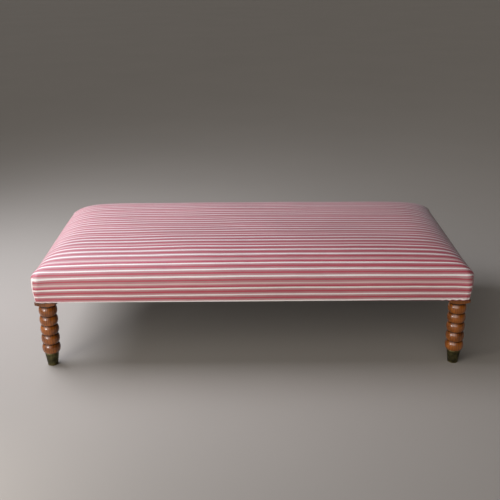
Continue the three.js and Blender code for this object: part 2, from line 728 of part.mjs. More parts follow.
const capPin = toePin();
const oneLeg = leg();
const oneCap = toeCap();
for (const [corner, signX, signY] of CORNERS) {
  // The pin goes in from the side that faces the middle of the stool.
  const inward = new THREE.Vector3(-signX * Math.SQRT1_2, -signY * Math.SQRT1_2, 0);
  const place = inward.clone().multiplyScalar(capRadiusAtPin() + CAP_GAP);
  place.add(new THREE.Vector3(signX * LEG_X, signY * LEG_Y, PIN_HEIGHT));
  const outward = inward.clone().negate();
  const hole = pointed(pinHole(), outward, place);
  addPiece(`leg_${corner}`, mirrored(oneLeg, signX, signY).subtract(hole), "turned_wood");
  const cap = oneCap.translate([signX * LEG_X, signY * LEG_Y, 0]);
  addPiece(`toe_cap_${corner}`, cap.subtract(hole), "brass");
  addPiece(`toe_pin_${corner}`, pointed(capPin, outward, place), "brass");
}

const holes = screwHoles();
let longRail = railAlongX(POST_INNER_X, FRAME_HALF_Y);
for (const [, x] of CROSS_RAILS) {
  longRail = longRail.subtract(stubTenon(x, RAIL_INNER_Y + STUB_TENON_LENGTH, JOINT_GAP));
}
const endRail = railAlongX(POST_INNER_Y, FRAME_HALF_X);
addPiece("rail_back", longRail.subtract(holes), "frame_wood");
addPiece("rail_front", longRail.rotate([0, 0, 180]).subtract(holes), "frame_wood");
addPiece("rail_left", endRail.rotate([0, 0, 90]).subtract(holes), "frame_wood");
addPiece("rail_right", endRail.rotate([0, 0, -90]).subtract(holes), "frame_wood");
for (const [side, x] of CROSS_RAILS) addPiece(`cross_rail_${side}`, crossRail(x), "frame_wood");

for (const [corner, signX, signY] of CORNERS) {
  addPiece(`brace_${corner}`, mirrored(brace(), signX, signY), "frame_wood");
  for (const [rail, place, direction] of screwPlaces()) {
    const driven = pointed(screw(), direction, place);
    addPiece(`brace_screw_${corner}_${rail}`, mirrored(driven, signX, signY), "screw_steel");
  }
}

LONG_PLACES.forEach((y, i) => {
  const sign = i % 2 ? -1 : 1;
  const strip = web(FRAME_HALF_X - WEB_FROM_OUTSIDE, RAIL_INNER_X, CROSS_PLACES, sign);
  addPiece(`web_long_${i + 1}`, toSolid(strip.translate(0, y, WEB_BOTTOM)), "jute");
});
CROSS_PLACES.forEach((x, i) => {
  const sign = i % 2 ? 1 : -1;
  const strip = web(FRAME_HALF_Y - WEB_FROM_OUTSIDE, RAIL_INNER_Y, LONG_PLACES, sign).rotateZ(Math.PI / 2);
  addPiece(`web_cross_${i + 1}`, toSolid(strip.translate(x, 0, WEB_BOTTOM)), "jute");
});

const hessianX = FRAME_HALF_X - HESSIAN_INSET;
const hessianY = FRAME_HALF_Y - HESSIAN_INSET;
addPiece(
  "hessian",
  block([-hessianX, -hessianY, HESSIAN_BOTTOM], [hessianX, hessianY, HESSIAN_BOTTOM + HESSIAN]),
  "hessian",
);
addPiece("hair_pad", hairPad(), "hair");
addPiece("calico_cover", calicoCover(), "calico");
addPiece("wadding", wadding(), "wadding");
addPiece("top_cover", topCover(), "ticking");
addPiece("bottoming", bottoming(), "bottoming");

export default root;
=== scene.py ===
"""Looks of a long upholstered footstool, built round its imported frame.

The frame's wood and screws stay as they are and get their finishes. The cloths, the stuffing, the webbing,
the turned legs and the brass toe caps are modelled here as finer surfaces in the same places, in metres.
"""

import functools
import math

import bmesh
import bpy
import numpy as np
from mathutils import Matrix, Vector


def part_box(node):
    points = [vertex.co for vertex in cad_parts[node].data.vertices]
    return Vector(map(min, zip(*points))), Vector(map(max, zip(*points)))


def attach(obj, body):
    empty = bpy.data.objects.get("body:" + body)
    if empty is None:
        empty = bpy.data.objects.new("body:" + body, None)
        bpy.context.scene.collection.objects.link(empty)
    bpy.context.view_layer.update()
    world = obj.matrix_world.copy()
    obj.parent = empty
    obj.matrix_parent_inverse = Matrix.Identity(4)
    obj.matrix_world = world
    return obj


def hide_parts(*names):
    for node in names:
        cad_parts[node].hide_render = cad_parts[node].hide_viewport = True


bl_info = {
    "name": "Upholstered footstool",
    "version": (1, 0, 0),
    "blender": (4, 5, 0),
    "location": "View3D > Sidebar > Footstool",
    "description": "Cloth, stuffing, turned legs and studio of a long upholstered footstool",
    "category": "Object",
}

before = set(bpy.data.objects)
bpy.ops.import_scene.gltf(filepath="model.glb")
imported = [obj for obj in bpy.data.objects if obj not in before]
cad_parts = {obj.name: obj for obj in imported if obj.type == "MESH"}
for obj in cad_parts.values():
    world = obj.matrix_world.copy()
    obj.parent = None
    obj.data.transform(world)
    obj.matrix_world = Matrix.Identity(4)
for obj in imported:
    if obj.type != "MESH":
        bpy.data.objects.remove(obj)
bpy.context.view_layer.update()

MM = 0.001
CORNERS = {"front_left": (-1, -1), "front_right": (1, -1), "back_right": (1, 1), "back_left": (-1, 1)}

# Sizes that the frame gives
COVER_LOW, COVER_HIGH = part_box("top_cover")
LEG_LOW, LEG_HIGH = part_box("leg_back_right")
CAP_LOW, CAP_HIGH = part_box("toe_cap_back_right")
HESSIAN_LOW, HESSIAN_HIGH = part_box("hessian")
BOTTOMING_LOW, BOTTOMING_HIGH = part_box("bottoming")
SIDE_RAIL_LOW, SIDE_RAIL_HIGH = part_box("rail_back")
END_RAIL_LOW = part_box("rail_right")[0]
HALF_X, HALF_Y, TOP = COVER_HIGH
HEM = COVER_LOW.z

# Sizes that repeat the part's source, where a box can't give them
WALL = 66 * MM  # from the hem to the widest line of the cloth
EDGE = HEM + WALL
CROWN = TOP - EDGE
HEM_DRAW_IN = 4 * MM
CROWN_END_REACH = 200 * MM
CROWN_POWER = 4
CROWN_ROUNDNESS = 0.63
END_FALL = 4 * MM  # how much lower the stuffing is at the ends than in the middle
PAD_CORNER = 20 * MM
FULLNESS = {"front_left": 1, "front_right": 1, "back_right": 0.65, "back_left": 0.15}  # of the corners
HEM_CORNER = 9 * MM
CLOTH = 1.2 * MM
HEM_TURN = 16 * MM
HEM_TURN_AT_POSTS = 5.2 * MM
HEM_ROLL = 1.2 * MM
COVER_DEPTH = 1.6 * MM  # from the face of the cloth to the wadding
WADDING = 5 * MM
WADDING_AT_HEM = 2.6 * MM
CALICO = 1 * MM
LAYER_GAP = 0.4 * MM
JOINT_GAP = 0.3 * MM
WEB_THICKNESS = 1.5 * MM
WEB_FOLD = 19 * MM
WEB_EASE = 3 * MM  # level stretch of a web past each crossing
WEB_LIFT = (WEB_THICKNESS + LAYER_GAP) / 2  # how far a web is lifted or pushed down where it crosses another
SAG = 3.5 * MM  # of the bottoming cloth
TACK_INSET = 9 * MM  # from the edge of the bottoming cloth to its tacks
TACK_CLEAR = 14 * MM  # from a notch to the nearest tack

# Legs and toe caps
BLOCK_SHOWN = 12 * MM
BLOCK_TOP = HEM - LAYER_GAP
BLOCK_BOTTOM = BLOCK_TOP - BLOCK_SHOWN
BLOCK_HALF = 29 * MM
BLOCK_ARRIS = 1.4 * MM  # worn off the corners of the square
POST_LET_IN = 2 * MM  # how far the post above goes down into the block
NECK = 5 * MM
BEAD_COUNT = 5
BEAD_RADIUS = 25.75 * MM
GROOVE_RADIUS = 20.7 * MM
PUMMEL_ROUND = 7 * MM
PUMMEL_RADIUS = 25 * MM
LEG_X = LEG_HIGH.x - BLOCK_HALF
LEG_Y = LEG_HIGH.y - BLOCK_HALF
CAP_TOP = CAP_HIGH.z
CAP_TOP_RADIUS = (CAP_HIGH.x - CAP_LOW.x) / 2
CAP_FOOT_RADIUS = 14.5 * MM
CAP_WALL = 1.5 * MM
CAP_BASE = 3 * MM
CAP_ARRIS = 1.2 * MM
RIM_HALF_WIDTH = 0.75 * MM  # of the rolled rim, which is an ellipse
RIM_HALF_HEIGHT = 1.2 * MM
RIM_PROUD = 0.25 * MM  # how far it stands beyond the wall

# How finely the surfaces are divided
COVER_STEPS = (150, 86, 10)  # along a side, along an end and in half a corner
LINING_STEPS = (60, 36, 5)
HAIR_STEPS = (90, 54, 6)
WALL_STEPS = 16
ROLL_STEPS = 4
TURNED_UNDER = np.array([0.35, 0.7, 1])  # rows of the strip under the rails, as shares of its width
TURN_SIDES = 96
BEAD_STEPS = 18

# One repeat of the ticking across its width, from the hem up: width in millimetres and the thread's setting.
# Each repeat has three wide spaces and a narrow one between its cream lines.
WIDE_SPACE = [(2.6, "rose"), (2.3, "pin_line"), (6.0, "red"), (2.3, "pin_line"), (2.6, "rose")]
NARROW_SPACE = [(5.2, "red"), (4.3, "rose")]
CREAM, SHADED = (4.8, "cream"), (4.8, "shaded_cream")
STRIPES = [CREAM, *WIDE_SPACE, CREAM, *WIDE_SPACE, CREAM, *NARROW_SPACE, SHADED, *WIDE_SPACE]
STRIPE_START = -1.5 * MM  # where the first cream line starts, from the hem

# How the cloth is laid over the pad
SKEW = 0.0034  # how far the stripes run askew, as a share of the length
BOW = 12 * MM  # how far the stripes bow down a metre from the middle
BOW_SHIFT = 1.2 * MM  # how far down they are drawn in the middle
HEM_RISE = 1.5 * MM  # how much further the hem is turned under
EASE_FROM = 58 * MM  # b0 in across_cloth
EASE_OVER = 45 * MM  # L in across_cloth
EASE_ON_WALL = 0.03
END_HOLD = 12 * MM  # h in across_cloth
END_BULGE = 2.6 * MM  # how far the end cloth stands out beyond the folds
STITCH_PITCH = 8 * MM
STITCH_HALF = 1.8 * MM  # half the length of a stitch


def linear(code):
    """The linear RGBA of an sRGB hex colour such as "#b04f5d"."""
    shares = [int(code[i : i + 2], 16) / 255 for i in (1, 3, 5)]
    return tuple(c / 12.92 if c <= 0.04045 else ((c + 0.055) / 1.055) ** 2.4 for c in shares) + (1.0,)


# Surfaces


def quads(grid):
    """The values of a grid at the four corners of each of its quads."""
    return np.stack((grid[:-1, :-1], grid[:-1, 1:], grid[1:, 1:], grid[1:, :-1]), 2)


def grid_faces(numbers):
    """Quads of a grid of point numbers. They face along (step to next column) x (step to next row)."""
    return quads(numbers).reshape(-1, 4)


def numbered(grid):
    """The point numbers of a grid of points, row by row."""
    return np.arange(grid.shape[0] * grid.shape[1]).reshape(grid.shape[:2])


def went_round(grid):
    """A grid with its first column repeated at its end, so that its rows close."""
    return np.concatenate([grid, grid[:, :1]], 1)


def joined(shapes):
    """Several shapes, each of points and faces, as one mesh."""
    points, faces, count = [], [], 0
    for shape, shape_faces in shapes:
        points.append(shape)
        faces += [[v + count for v in face] for face in shape_faces]
        count += len(shape)
    return np.concatenate(points), faces


def new_piece(name, points, faces, finish, slot, node=None, uv=None, sharp=None, attribute=None):
    """A mesh object at the origin that rides on the frame, in place of a node where one is given. sharp is
    the angle from which an edge stays crisp."""
    mesh = bpy.data.meshes.new(name)
    mesh.from_pydata(np.asarray(points, float), [], [list(map(int, face)) for face in faces])
    if uv is not None:
        mesh.uv_layers.new(name="cloth").data.foreach_set("uv", np.asarray(uv, np.float32).ravel())
    if attribute is not None:
        held = mesh.attributes.new(attribute[0], "FLOAT", "POINT")
        held.data.foreach_set("value", np.asarray(attribute[1], np.float32))
    mesh.shade_smooth()
    if sharp is not None:
        mesh.set_sharp_from_angle(angle=math.radians(sharp))
    mesh.materials.append(finish)
    piece = bpy.data.objects.new(name, mesh)
    bpy.context.scene.collection.objects.link(piece)
    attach(piece, "root")
    if node is not None:
        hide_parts(node)
    return piece


def thicken(cloth, thickness):
    """Gives a cloth its thickness, behind its face."""
    shell = cloth.modifiers.new("cloth thickness", "SOLIDIFY")
    shell.thickness = thickness
    shell.offset = -1


def turned(radii, heights, x, y):
    """A closed turned shape. radii is (rows, sides): each point stands at (r cos a, r sin a) from the axis,
    and the first and last rows are closed by a point on the axis at their own height."""
    rows, sides = radii.shape
    angle = np.arange(sides) * 2 * np.pi / sides
    level = np.repeat(heights[:, None], sides, 1)
    ring = np.stack([x + radii * np.cos(angle), y + radii * np.sin(angle), level], -1)
    points = np.concatenate([ring.reshape(-1, 3), [[x, y, heights[0]], [x, y, heights[-1]]]])
    closed = went_round(numbered(ring))
    first, last = rows * sides, rows * sides + 1
    low = np.stack([np.full(sides, first), closed[0, 1:], closed[0, :-1]], 1)
    high = np.stack([closed[-1, :-1], closed[-1, 1:], np.full(sides, last)], 1)
    return points, [*grid_faces(closed).tolist(), *low.tolist(), *high.tolist()]


def smooth_step(value):
    """0 below 0, 1 above 1, and 3t^2 - 2t^3 between."""
    t = np.clip(value, 0, 1)
    return t * t * (3 - 2 * t)


def bell(value):
    """1 at 0, falling evenly on both sides: e^(-v^2)."""
    return np.exp(-(value**2))


# The pad: every soft layer is a skin of the same form, a little deeper


def outline_recipe(long_steps, short_steps, arc_steps):
    """How to place the points round a rounded rectangle, anticlockwise from the middle of its front left
    corner. Each point has a centre, as shares of the straight half sides, and a direction (cos a, sin a) of
    its radius. Points stand closer together towards the corners."""
    quarter = math.pi / 4 * np.linspace(0, 1, arc_steps + 1) ** 1.5
    centres, angles = [], []
    for side, steps in enumerate((long_steps, short_steps, long_steps, short_steps)):
        facing = math.pi / 2 * (side - 1)
        t = np.linspace(-1, 1, steps + 1)
        straight = 0.2 * t + 0.8 * (1.5 * t - 0.5 * t**3)
        start = np.full(arc_steps, -1.0)
        along = np.concatenate([start, straight, -start[1:]])
        before, after = quarter[:-1] - math.pi / 4, math.pi / 4 - quarter[::-1][1:-1]
        angles.append(facing + np.concatenate([before, np.zeros(steps + 1), after]))
        turn = np.array([[math.cos(facing), -math.sin(facing)], [math.sin(facing), math.cos(facing)]])
        centres.append(np.stack([np.ones_like(along), along], 1) @ turn.T)
    angles = np.concatenate(angles)
    outward = np.stack([np.cos(angles), np.sin(angles)], 1)
    return np.concatenate(centres), outward, long_steps + 2 * arc_steps, short_steps + 2 * arc_steps


def outline(recipe, inset, radius):
    """Points round the pad's plan, this far in from its widest line: centre + radius (cos a, sin a)."""
    return recipe[0] * [HALF_X - inset - radius, HALF_Y - inset - radius] + radius * recipe[1]


def rise(distance, reach):
    """The share of the crown at a distance in from an edge: (1 - (1 - d/R)^4)^0.63."""
    away = 1 - np.clip(distance / reach, 0, 1)
    return (1 - away**CROWN_POWER) ** CROWN_ROUNDNESS


def edge_at(other, half, half_other, radius):
    """Half the width of a rounded rectangle at a distance from its middle line, along the other axis."""
    past = np.maximum(np.abs(other) - (half_other - radius), 0)
    return half - radius + np.sqrt(np.maximum(radius**2 - past**2, 0))


def crown_height(x, y, depth, full=True):
    """Height of a skin over a point in plan: the edge height plus the crown times its rise from both edges.
    The two rises are multiplied. Where the corners are full, they are joined by (a^-3 + b^-3 - 1)^(-1/3)
    instead, which is close to the lower of the two. The fullness runs evenly from corner to corner. The crown
    is lower by END_FALL (x / half length)^2."""
    half_x, half_y, radius = HALF_X - depth, HALF_Y - depth, PAD_CORNER - depth
    from_end = edge_at(y, half_x, half_y, radius) - np.abs(x)
    from_side = edge_at(x, half_y, half_x, radius) - np.abs(y)
    a, b = rise(from_end, CROWN_END_REACH), rise(from_side, half_y)
    height = a * b
    if full:
        to_right, to_back = (1 + x / HALF_X) / 2, (1 + y / HALF_Y) / 2
        front = FULLNESS["front_left"] * (1 - to_right) + FULLNESS["front_right"] * to_right
        back = FULLNESS["back_left"] * (1 - to_right) + FULLNESS["back_right"] * to_right
        fullness = front * (1 - to_back) + back * to_back
        a, b = np.maximum(a, 1e-5), np.maximum(b, 1e-5)
        height = (1 - fullness) * height + fullness * (a**-3 + b**-3 - 1) ** (-1 / 3)
    return EDGE + (CROWN - END_FALL * (x / HALF_X) ** 2 - depth) * height


def wall_at(height):
    """At a height on the wall: how far the face of the cloth stands in from the widest line, its corner
    radius there, and the share of the wall below. The cloth draws in by D (1 - sin) of a quarter turn."""
    up = np.clip((height - HEM) / WALL, 0, 1)
    return HEM_DRAW_IN * (1 - np.sin(up * math.pi / 2)), HEM_CORNER + (PAD_CORNER - HEM_CORNER) * up, up


def coons(ring, long_count, short_count):
    """Plan places of a grid whose rim is the ring: opposite sides blended, less their shared corners."""
    closed = np.concatenate([ring, ring[:1]])
    ends = np.cumsum([0, long_count, short_count, long_count, short_count])
    front, right, back, left = (closed[a : b + 1] for a, b in zip(ends[:-1], ends[1:]))
    back, left = back[::-1], left[::-1]
    u = ((front[:, 0] - front[0, 0]) / (front[-1, 0] - front[0, 0]))[None, :, None]
    v = ((right[:, 1] - right[0, 1]) / (right[-1, 1] - right[0, 1]))[:, None, None]
    sides = (1 - v) * front[None] + v * back[None] + (1 - u) * left[:, None] + u * right[:, None]
    shared = (1 - v) * ((1 - u) * front[0] + u * front[-1]) + v * ((1 - u) * back[0] + u * back[-1])
    return sides - shared


def rim_numbers(numbers):
    """The point numbers round the rim of a grid, in the order of the ring."""
    return np.concatenate([numbers[0, :-1], numbers[:-1, -1], numbers[-1, :0:-1], numbers[:0:-1, 0]])


def pad_skin(recipe, rows, depth):
    """One skin of the pad: a crowned grid, and rings down its wall. rows are pairs of a height and a side
    depth. It returns the grid's points, all points, the grid's numbers and the numbers of the rings."""
    plan = coons(outline(recipe, depth, max(PAD_CORNER - depth, CLOTH)), *recipe[2:])
    height = crown_height(plan[..., 0], plan[..., 1], depth)
    top = np.concatenate([plan, height[..., None]], -1)
    numbers = numbered(top)
    points, rings = [top.reshape(-1, 3)], [rim_numbers(numbers)]
    for z, side_depth in rows:
        inset, radius, _ = wall_at(z)
        flat = outline(recipe, inset + side_depth, max(radius - side_depth, CLOTH))
        rings.append(numbers.size + (len(rings) - 1) * len(flat) + np.arange(len(flat)))
        points.append(np.concatenate([flat, np.full((len(flat), 1), z)], 1))
    return top, np.concatenate(points), numbers, np.array(rings)


def ring_faces(rings):
    """Quads between rings of point numbers that go round, from the upper ring to the lower."""
    return grid_faces(went_round(rings))[:, ::-1]


def two_skins(recipe, heights, face, back, depth, thickness):
    """A closed layer between two skins, joined by a rim at its lower edge. face and back are how deep the
    skins lie at the heights of the wall, and depth is how deep the outer one lies under the crown."""
    _, outer, numbers, rings = pad_skin(recipe, zip(heights, face), depth)
    _, inner, _, _ = pad_skin(recipe, zip(heights, back), depth + thickness)
    shown = np.concatenate([grid_faces(numbers), ring_faces(rings)])
    behind = shown[:, ::-1] + len(outer)
    rim = ring_faces(np.array([rings[-1], rings[-1] + len(outer)]))
    return np.concatenate([outer, inner]), np.concatenate([shown, behind, rim])


# The cloth of the top cover


def section_arcs(steps=240):
    """Arc lengths over the crown from the widest line inwards, at many places along the stool. Row k is at
    |x| = HALF_X (1 - q^2) and column m at |y| = half width (1 - t^2), with q and t even from 0 to 1."""
    t = np.linspace(0, 1, steps)
    x = (HALF_X * (1 - t**2))[:, None]
    y = edge_at(x, HALF_Y, HALF_X, PAD_CORNER) * (1 - t**2)
    z = crown_height(np.broadcast_to(x, y.shape), y, 0, full=False)
    step = np.hypot(np.diff(y, axis=1), np.diff(z, axis=1))
    return np.concatenate([np.zeros((steps, 1)), np.cumsum(step, 1)], 1)


def across_cloth(arcs, x, y, wall_arc=None):
    """Where a point lies across the cloth, in metres from the front hem, for the front half. At each
    section the arc b from the hem is stretched to b + (A0 - A) g(b), so that every section uses the same
    width A0 of cloth from the hem to the middle. The share g is 0.03 b / b0 on the wall, up to b0, and then
    rises by 1 - e^(-(b - b0) / L): the spare cloth is eased in over the edge of the crown. At a distance d
    from an end, the section is the one at (d^2 + h^2)^(1/2), so the stripes run straight over the end's rim.
    Its edge is that of the place itself on the side cloth, and that of the section well past the fold."""
    last = len(arcs) - 1
    section = HALF_X - np.minimum(np.hypot(HALF_X - np.abs(x), END_HOLD), HALF_X)
    past_fold = (np.abs(x) - HALF_X - np.abs(y) + HALF_Y) / math.sqrt(2)
    place = np.abs(x) + (section - np.abs(x)) * smooth_step((past_fold - 5 * MM) / (12 * MM))
    wide = edge_at(place, HALF_Y, HALF_X, PAD_CORNER)
    q = np.sqrt(np.clip(1 - section / HALF_X, 0, 1)) * last
    t = np.sqrt(np.clip(1 - np.abs(y) / wide, 0, 1)) * last
    i, j = (np.minimum(share.astype(int), last - 1) for share in (q, t))
    fi, fj = q - i, t - j
    arc = (arcs[i, j] * (1 - fj) + arcs[i, j + 1] * fj) * (1 - fi)
    arc = arc + (arcs[i + 1, j] * (1 - fj) + arcs[i + 1, j + 1] * fj) * fi
    whole = WALL + arcs[i, -1] * (1 - fi) + arcs[i + 1, -1] * fi
    b = WALL + arc if wall_arc is None else wall_arc
    over = 1 - np.exp(-np.maximum(b - EASE_FROM, 0) / EASE_OVER)
    over = over / (1 - np.exp(-(whole - EASE_FROM) / EASE_OVER))
    share = EASE_ON_WALL * np.clip(b / EASE_FROM, 0, 1) + (1 - EASE_ON_WALL) * over
    return b + (WALL + arcs[-1, -1] - whole) * share


def drawn_down(x, across):
    """How far the stripes are drawn down towards the front hem: s (shift + bow x^2), where s rises from 0 at
    the hem to 0.65 at 25 mm above it, and to 1 over the edge of the crown. They run askew by SKEW x as well,
    and the hem itself is turned under HEM_RISE further, which dies out 80 mm above it."""
    share = 0.65 * np.clip(across / (25 * MM), 0, 1) + 0.35 * smooth_step((across - 60 * MM) / (50 * MM))
    turned_under = HEM_RISE * (1 - np.clip(across / (80 * MM), 0, 1))
    return share * (BOW_SHIFT + BOW * x**2) - SKEW * x - turned_under


def corner_move(x, y, radius, inset, settings):
    """How far the cloth stands out near the corners, and in which direction in plan. d is the distance from
    the fold at the middle of the corner, above 0 on the end cloth. The stuffing swells the corner by
    S e^(-(d / w)^2). The side cloth laps over the end cloth: it rises towards the fold, drops over its edge
    within a millimetre, and the end cloth has a narrow crease there and stands out again beyond it."""
    from_x = np.abs(x) - (HALF_X - inset - radius)
    from_y = np.abs(y) - (HALF_Y - inset - radius)
    d = (from_x - from_y) / math.sqrt(2)
    swell = settings.corner_swell * bell(d / np.where(d > 0, 45 * MM, 22 * MM))
    side = settings.pleat_lap * bell(d / (9 * MM))
    drop = settings.pleat_lap * np.exp(-np.maximum(d, 0) / (0.5 * MM))
    crease = 0.9 * MM * bell((d - 1.3 * MM) / (1.1 * MM))
    bulge = END_BULGE * bell((d - 12 * MM) / (8 * MM))
    out = np.stack([np.maximum(from_x, 0), np.maximum(from_y, 0)], -1)
    length = np.linalg.norm(out, axis=-1)
    direction = out / np.maximum(length, 1e-9)[..., None] * np.sign(np.stack([x, y], -1))
    return swell + np.where(d > 0, drop - crease + bulge, side), direction, length, d


def swell_share(up):
    """How much of the corner's swell is left at a share of the wall's height: less towards the hem."""
    return 0.45 + 0.55 * smooth_step(up / 0.7)


def hem_rows(recipe):
    """Points and arcs of the rows below the wall: a quarter turn of the cloth round the hem, and the strip
    that is turned under the rails, narrow beside the leg posts."""
    hem = outline(recipe, HEM_DRAW_IN, HEM_CORNER)
    x, y = np.abs(hem.T)
    on_side = np.abs(y - (HALF_Y - HEM_DRAW_IN)) < HEM_CORNER
    on_end = np.abs(x - (HALF_X - HEM_DRAW_IN)) < HEM_CORNER
    clear = BLOCK_HALF + 1.5 * MM
    from_post = np.minimum(np.where(on_side, LEG_X - clear - x, 1), np.where(on_end, LEG_Y - clear - y, 1))
    turn = HEM_TURN_AT_POSTS + (HEM_TURN - HEM_TURN_AT_POSTS) * smooth_step(from_post / (3 * MM))
    roll = np.linspace(0, math.pi / 2, ROLL_STEPS + 1)
    rolled = np.repeat(HEM_ROLL * (1 - np.cos(roll))[:, None], len(hem), 1)
    inward = np.concatenate([rolled, HEM_ROLL + (turn - HEM_ROLL) * TURNED_UNDER[:, None]])
    plan = hem - inward[..., None] * recipe[1]
    heights = HEM + np.concatenate([HEM_ROLL * (1 - np.sin(roll)), 0 * TURNED_UNDER])
    arcs = HEM_ROLL * (1 - np.append(roll, np.full(len(TURNED_UNDER), math.pi / 2)))
    arcs[-len(TURNED_UNDER) :] -= (HEM_TURN - HEM_ROLL) * TURNED_UNDER
    return np.concatenate([plan, np.broadcast_to(heights[:, None, None], (*plan.shape[:2], 1))], -1), arcs


def cover_cloth(recipe, settings):
    """The outer face of the top cover: the crowned top, the wall with its pleated corners, the rolled hem and
    the strip turned under the rails. It returns the points, the quads and their map places."""
    heights = HEM + HEM_ROLL + (WALL - HEM_ROLL) * np.linspace(1, 0, WALL_STEPS + 1)[1:-1] ** 1.15
    top, points, numbers, _ = pad_skin(recipe, [(z, 0) for z in heights], 0)
    plan = top[..., :2].copy()
    hem, hem_arcs = hem_rows(recipe)
    wall = np.concatenate([points[numbers.size :].reshape(len(heights), -1, 3), hem])

    # The wall swells at its corners and between its tacks, gathers beside the folds and puckers over the
    # legs, most of all over the front right one. d being the distance from the fold, the gathers are a
    # cosine of d that dies out to both sides, and the puckers a row of scallops, (1/2 + 1/2 cos(d / r))^0.7.
    x, y, z = np.moveaxis(wall.copy(), -1, 0)
    inset, radius, up = wall_at(z)
    move, _, _, d = corner_move(x, y, radius, inset, settings)
    beside = np.where(d > 0, np.exp(-d / (9 * MM)), np.exp(d / (11 * MM))) * (np.abs(d) > 0.8 * MM)
    gather = np.cos(d / (1.25 * MM)) * beside * (1 - smooth_step(up / 0.6))
    over_leg = smooth_step((66 * MM + d) / (20 * MM)) * smooth_step((-d - 4 * MM) / (6 * MM))
    over_leg = over_leg * np.where((x > 0) & (y < 0), 1, 0.45) * smooth_step((HEM + 8 * MM - z) / (8 * MM))
    scallop = (0.5 + 0.5 * np.cos(d / (2.1 * MM))) ** 0.7
    wave = 1 + np.sin(x / 0.047 + 1.3) * np.cos(y / 0.039 + z / 0.03)
    move = move * swell_share(up) + settings.gathers * gather + settings.hem_puckers * over_leg * scallop
    move = move + 0.35 * MM * wave * np.sin(up * math.pi)
    shown = (np.arange(len(wall)) < len(wall) - len(TURNED_UNDER))[:, None]
    wall[..., :2] += (move * shown)[..., None] * recipe[1]
    wall[..., 2] += 0.8 * settings.hem_puckers * over_leg * (0.4 - scallop) * shown

    # The crown takes over the swell of the corners at its rim, and lies a little uneven over the stuffing,
    # in two crossed sets of sine waves.
    x, y = np.moveaxis(plan, -1, 0)
    move, direction, out, _ = corner_move(x, y, PAD_CORNER, 0, settings)
    top[..., :2] += (move * smooth_step((out - 5 * MM) / (13 * MM)))[..., None] * direction
    inside = np.minimum(HALF_X - np.abs(x), HALF_Y - np.abs(y))
    waves = np.sin(x / 0.071 + 0.6) * np.sin(y / 0.053 + 1.9) + 0.6 * np.sin(x / 0.043 + y / 0.09 + 2.2)
    top[..., 2] += settings.unevenness * smooth_step((inside - 5 * MM) / (50 * MM)) * waves / 3.2

    points = np.concatenate([top.reshape(-1, 3), wall.reshape(-1, 3)])
    rings = np.concatenate([rim_numbers(numbers)[None], numbers.size + numbered(wall)])
    faces, uv = cover_map(recipe, plan, numbers, rings, np.concatenate([[WALL], heights - HEM, hem_arcs]))
    return points, faces, uv


def cover_map(recipe, plan, numbers, rings, arc):
    """The quads of the cover and their map places: U along the stool and V across the cloth from the front
    hem. arc is the length of cloth from the hem up to each ring."""
    arcs = section_arcs()
    whole = 2 * (WALL + arcs[-1, -1])

    def place(u, x, v):
        v = np.broadcast_to(v + drawn_down(x, v), u.shape)
        return quads(np.stack([u, v], -1))

    x, y = np.moveaxis(plan, -1, 0)
    across = across_cloth(arcs, x, y)
    faces = [grid_faces(numbers)]
    uv = [place(x, x, np.where(y > 0, whole - across, across)).reshape(-1, 2)]
    rim = outline(recipe, 0, PAD_CORNER)
    edge_across = across_cloth(arcs, *rim.T)
    starts = np.cumsum([0, *recipe[2:], *recipe[2:]])
    for side, (start, end) in enumerate(zip(starts[:-1], starts[1:])):
        picked = np.arange(start, end + 1) % len(rim)
        x, y = (np.repeat(row[None], len(arc), 0) for row in rim[picked].T)
        if side % 2:
            v = np.where(y > 0, whole - edge_across[picked], edge_across[picked])
            u = np.repeat(HALF_X + WALL - arc[:, None], len(picked), 1)
        else:
            v = across_cloth(arcs, x, y, arc[:, None])
            v, u = whole - v if side == 2 else v, x
        faces.append(grid_faces(rings[:, picked])[:, ::-1])
        uv.append(place(u, x, v).reshape(-1, 4, 2)[:, ::-1].reshape(-1, 2))
    return np.concatenate(faces), np.concatenate(uv)


# Finishes


def fill_sockets(node, inputs):
    """Fills a node's sockets, by name or in order. A socket, or a node's first output, is linked."""
    for name, value in inputs.items() if isinstance(inputs, dict) else enumerate(inputs):
        if isinstance(value, bpy.types.Node):
            value = value.outputs[0]
        if isinstance(value, bpy.types.NodeSocket):
            node.id_data.links.new(value, node.inputs[name])
        else:
            node.inputs[name].default_value = value


def add_node(tree, kind, inputs=(), stops=(), **settings):
    """Adds a node of a kind with its settings and links. stops are the places and colours of a ramp."""
    node = tree.nodes.new("ShaderNode" + kind)
    for name, value in settings.items():
        setattr(node, name, value)
    fill_sockets(node, inputs)
    if stops:
        elements = node.color_ramp.elements
        elements.remove(elements[1])
        for i, (place, colour) in enumerate(stops):
            element = elements.new(place) if i else elements[0]
            element.position = place
            element.color = colour
    return node


def new_finish(name):
    """A material, the function that adds a node to it, and its shader."""
    finish = bpy.data.materials.new(name)
    finish.use_nodes = True
    tree = finish.node_tree
    return finish, functools.partial(add_node, tree), tree.nodes["Principled BSDF"]


def opaque(colour):
    """The RGBA of a colour setting."""
    return (*colour, 1.0)


def woven(add, place, pitch):
    """The place split into its parts, and the relief of a plain weave on it, which is the sine of the place
    along times the sine of the place across, with one turn to a pitch."""
    split = add("SeparateXYZ", [place])
    turns = [add("Math", [part, 2 * math.pi / pitch], operation="MULTIPLY") for part in split.outputs[:2]]
    warp, weft = (add("Math", [turn], operation="SINE") for turn in turns)
    return split, add("Math", [warp, weft], operation="MULTIPLY")


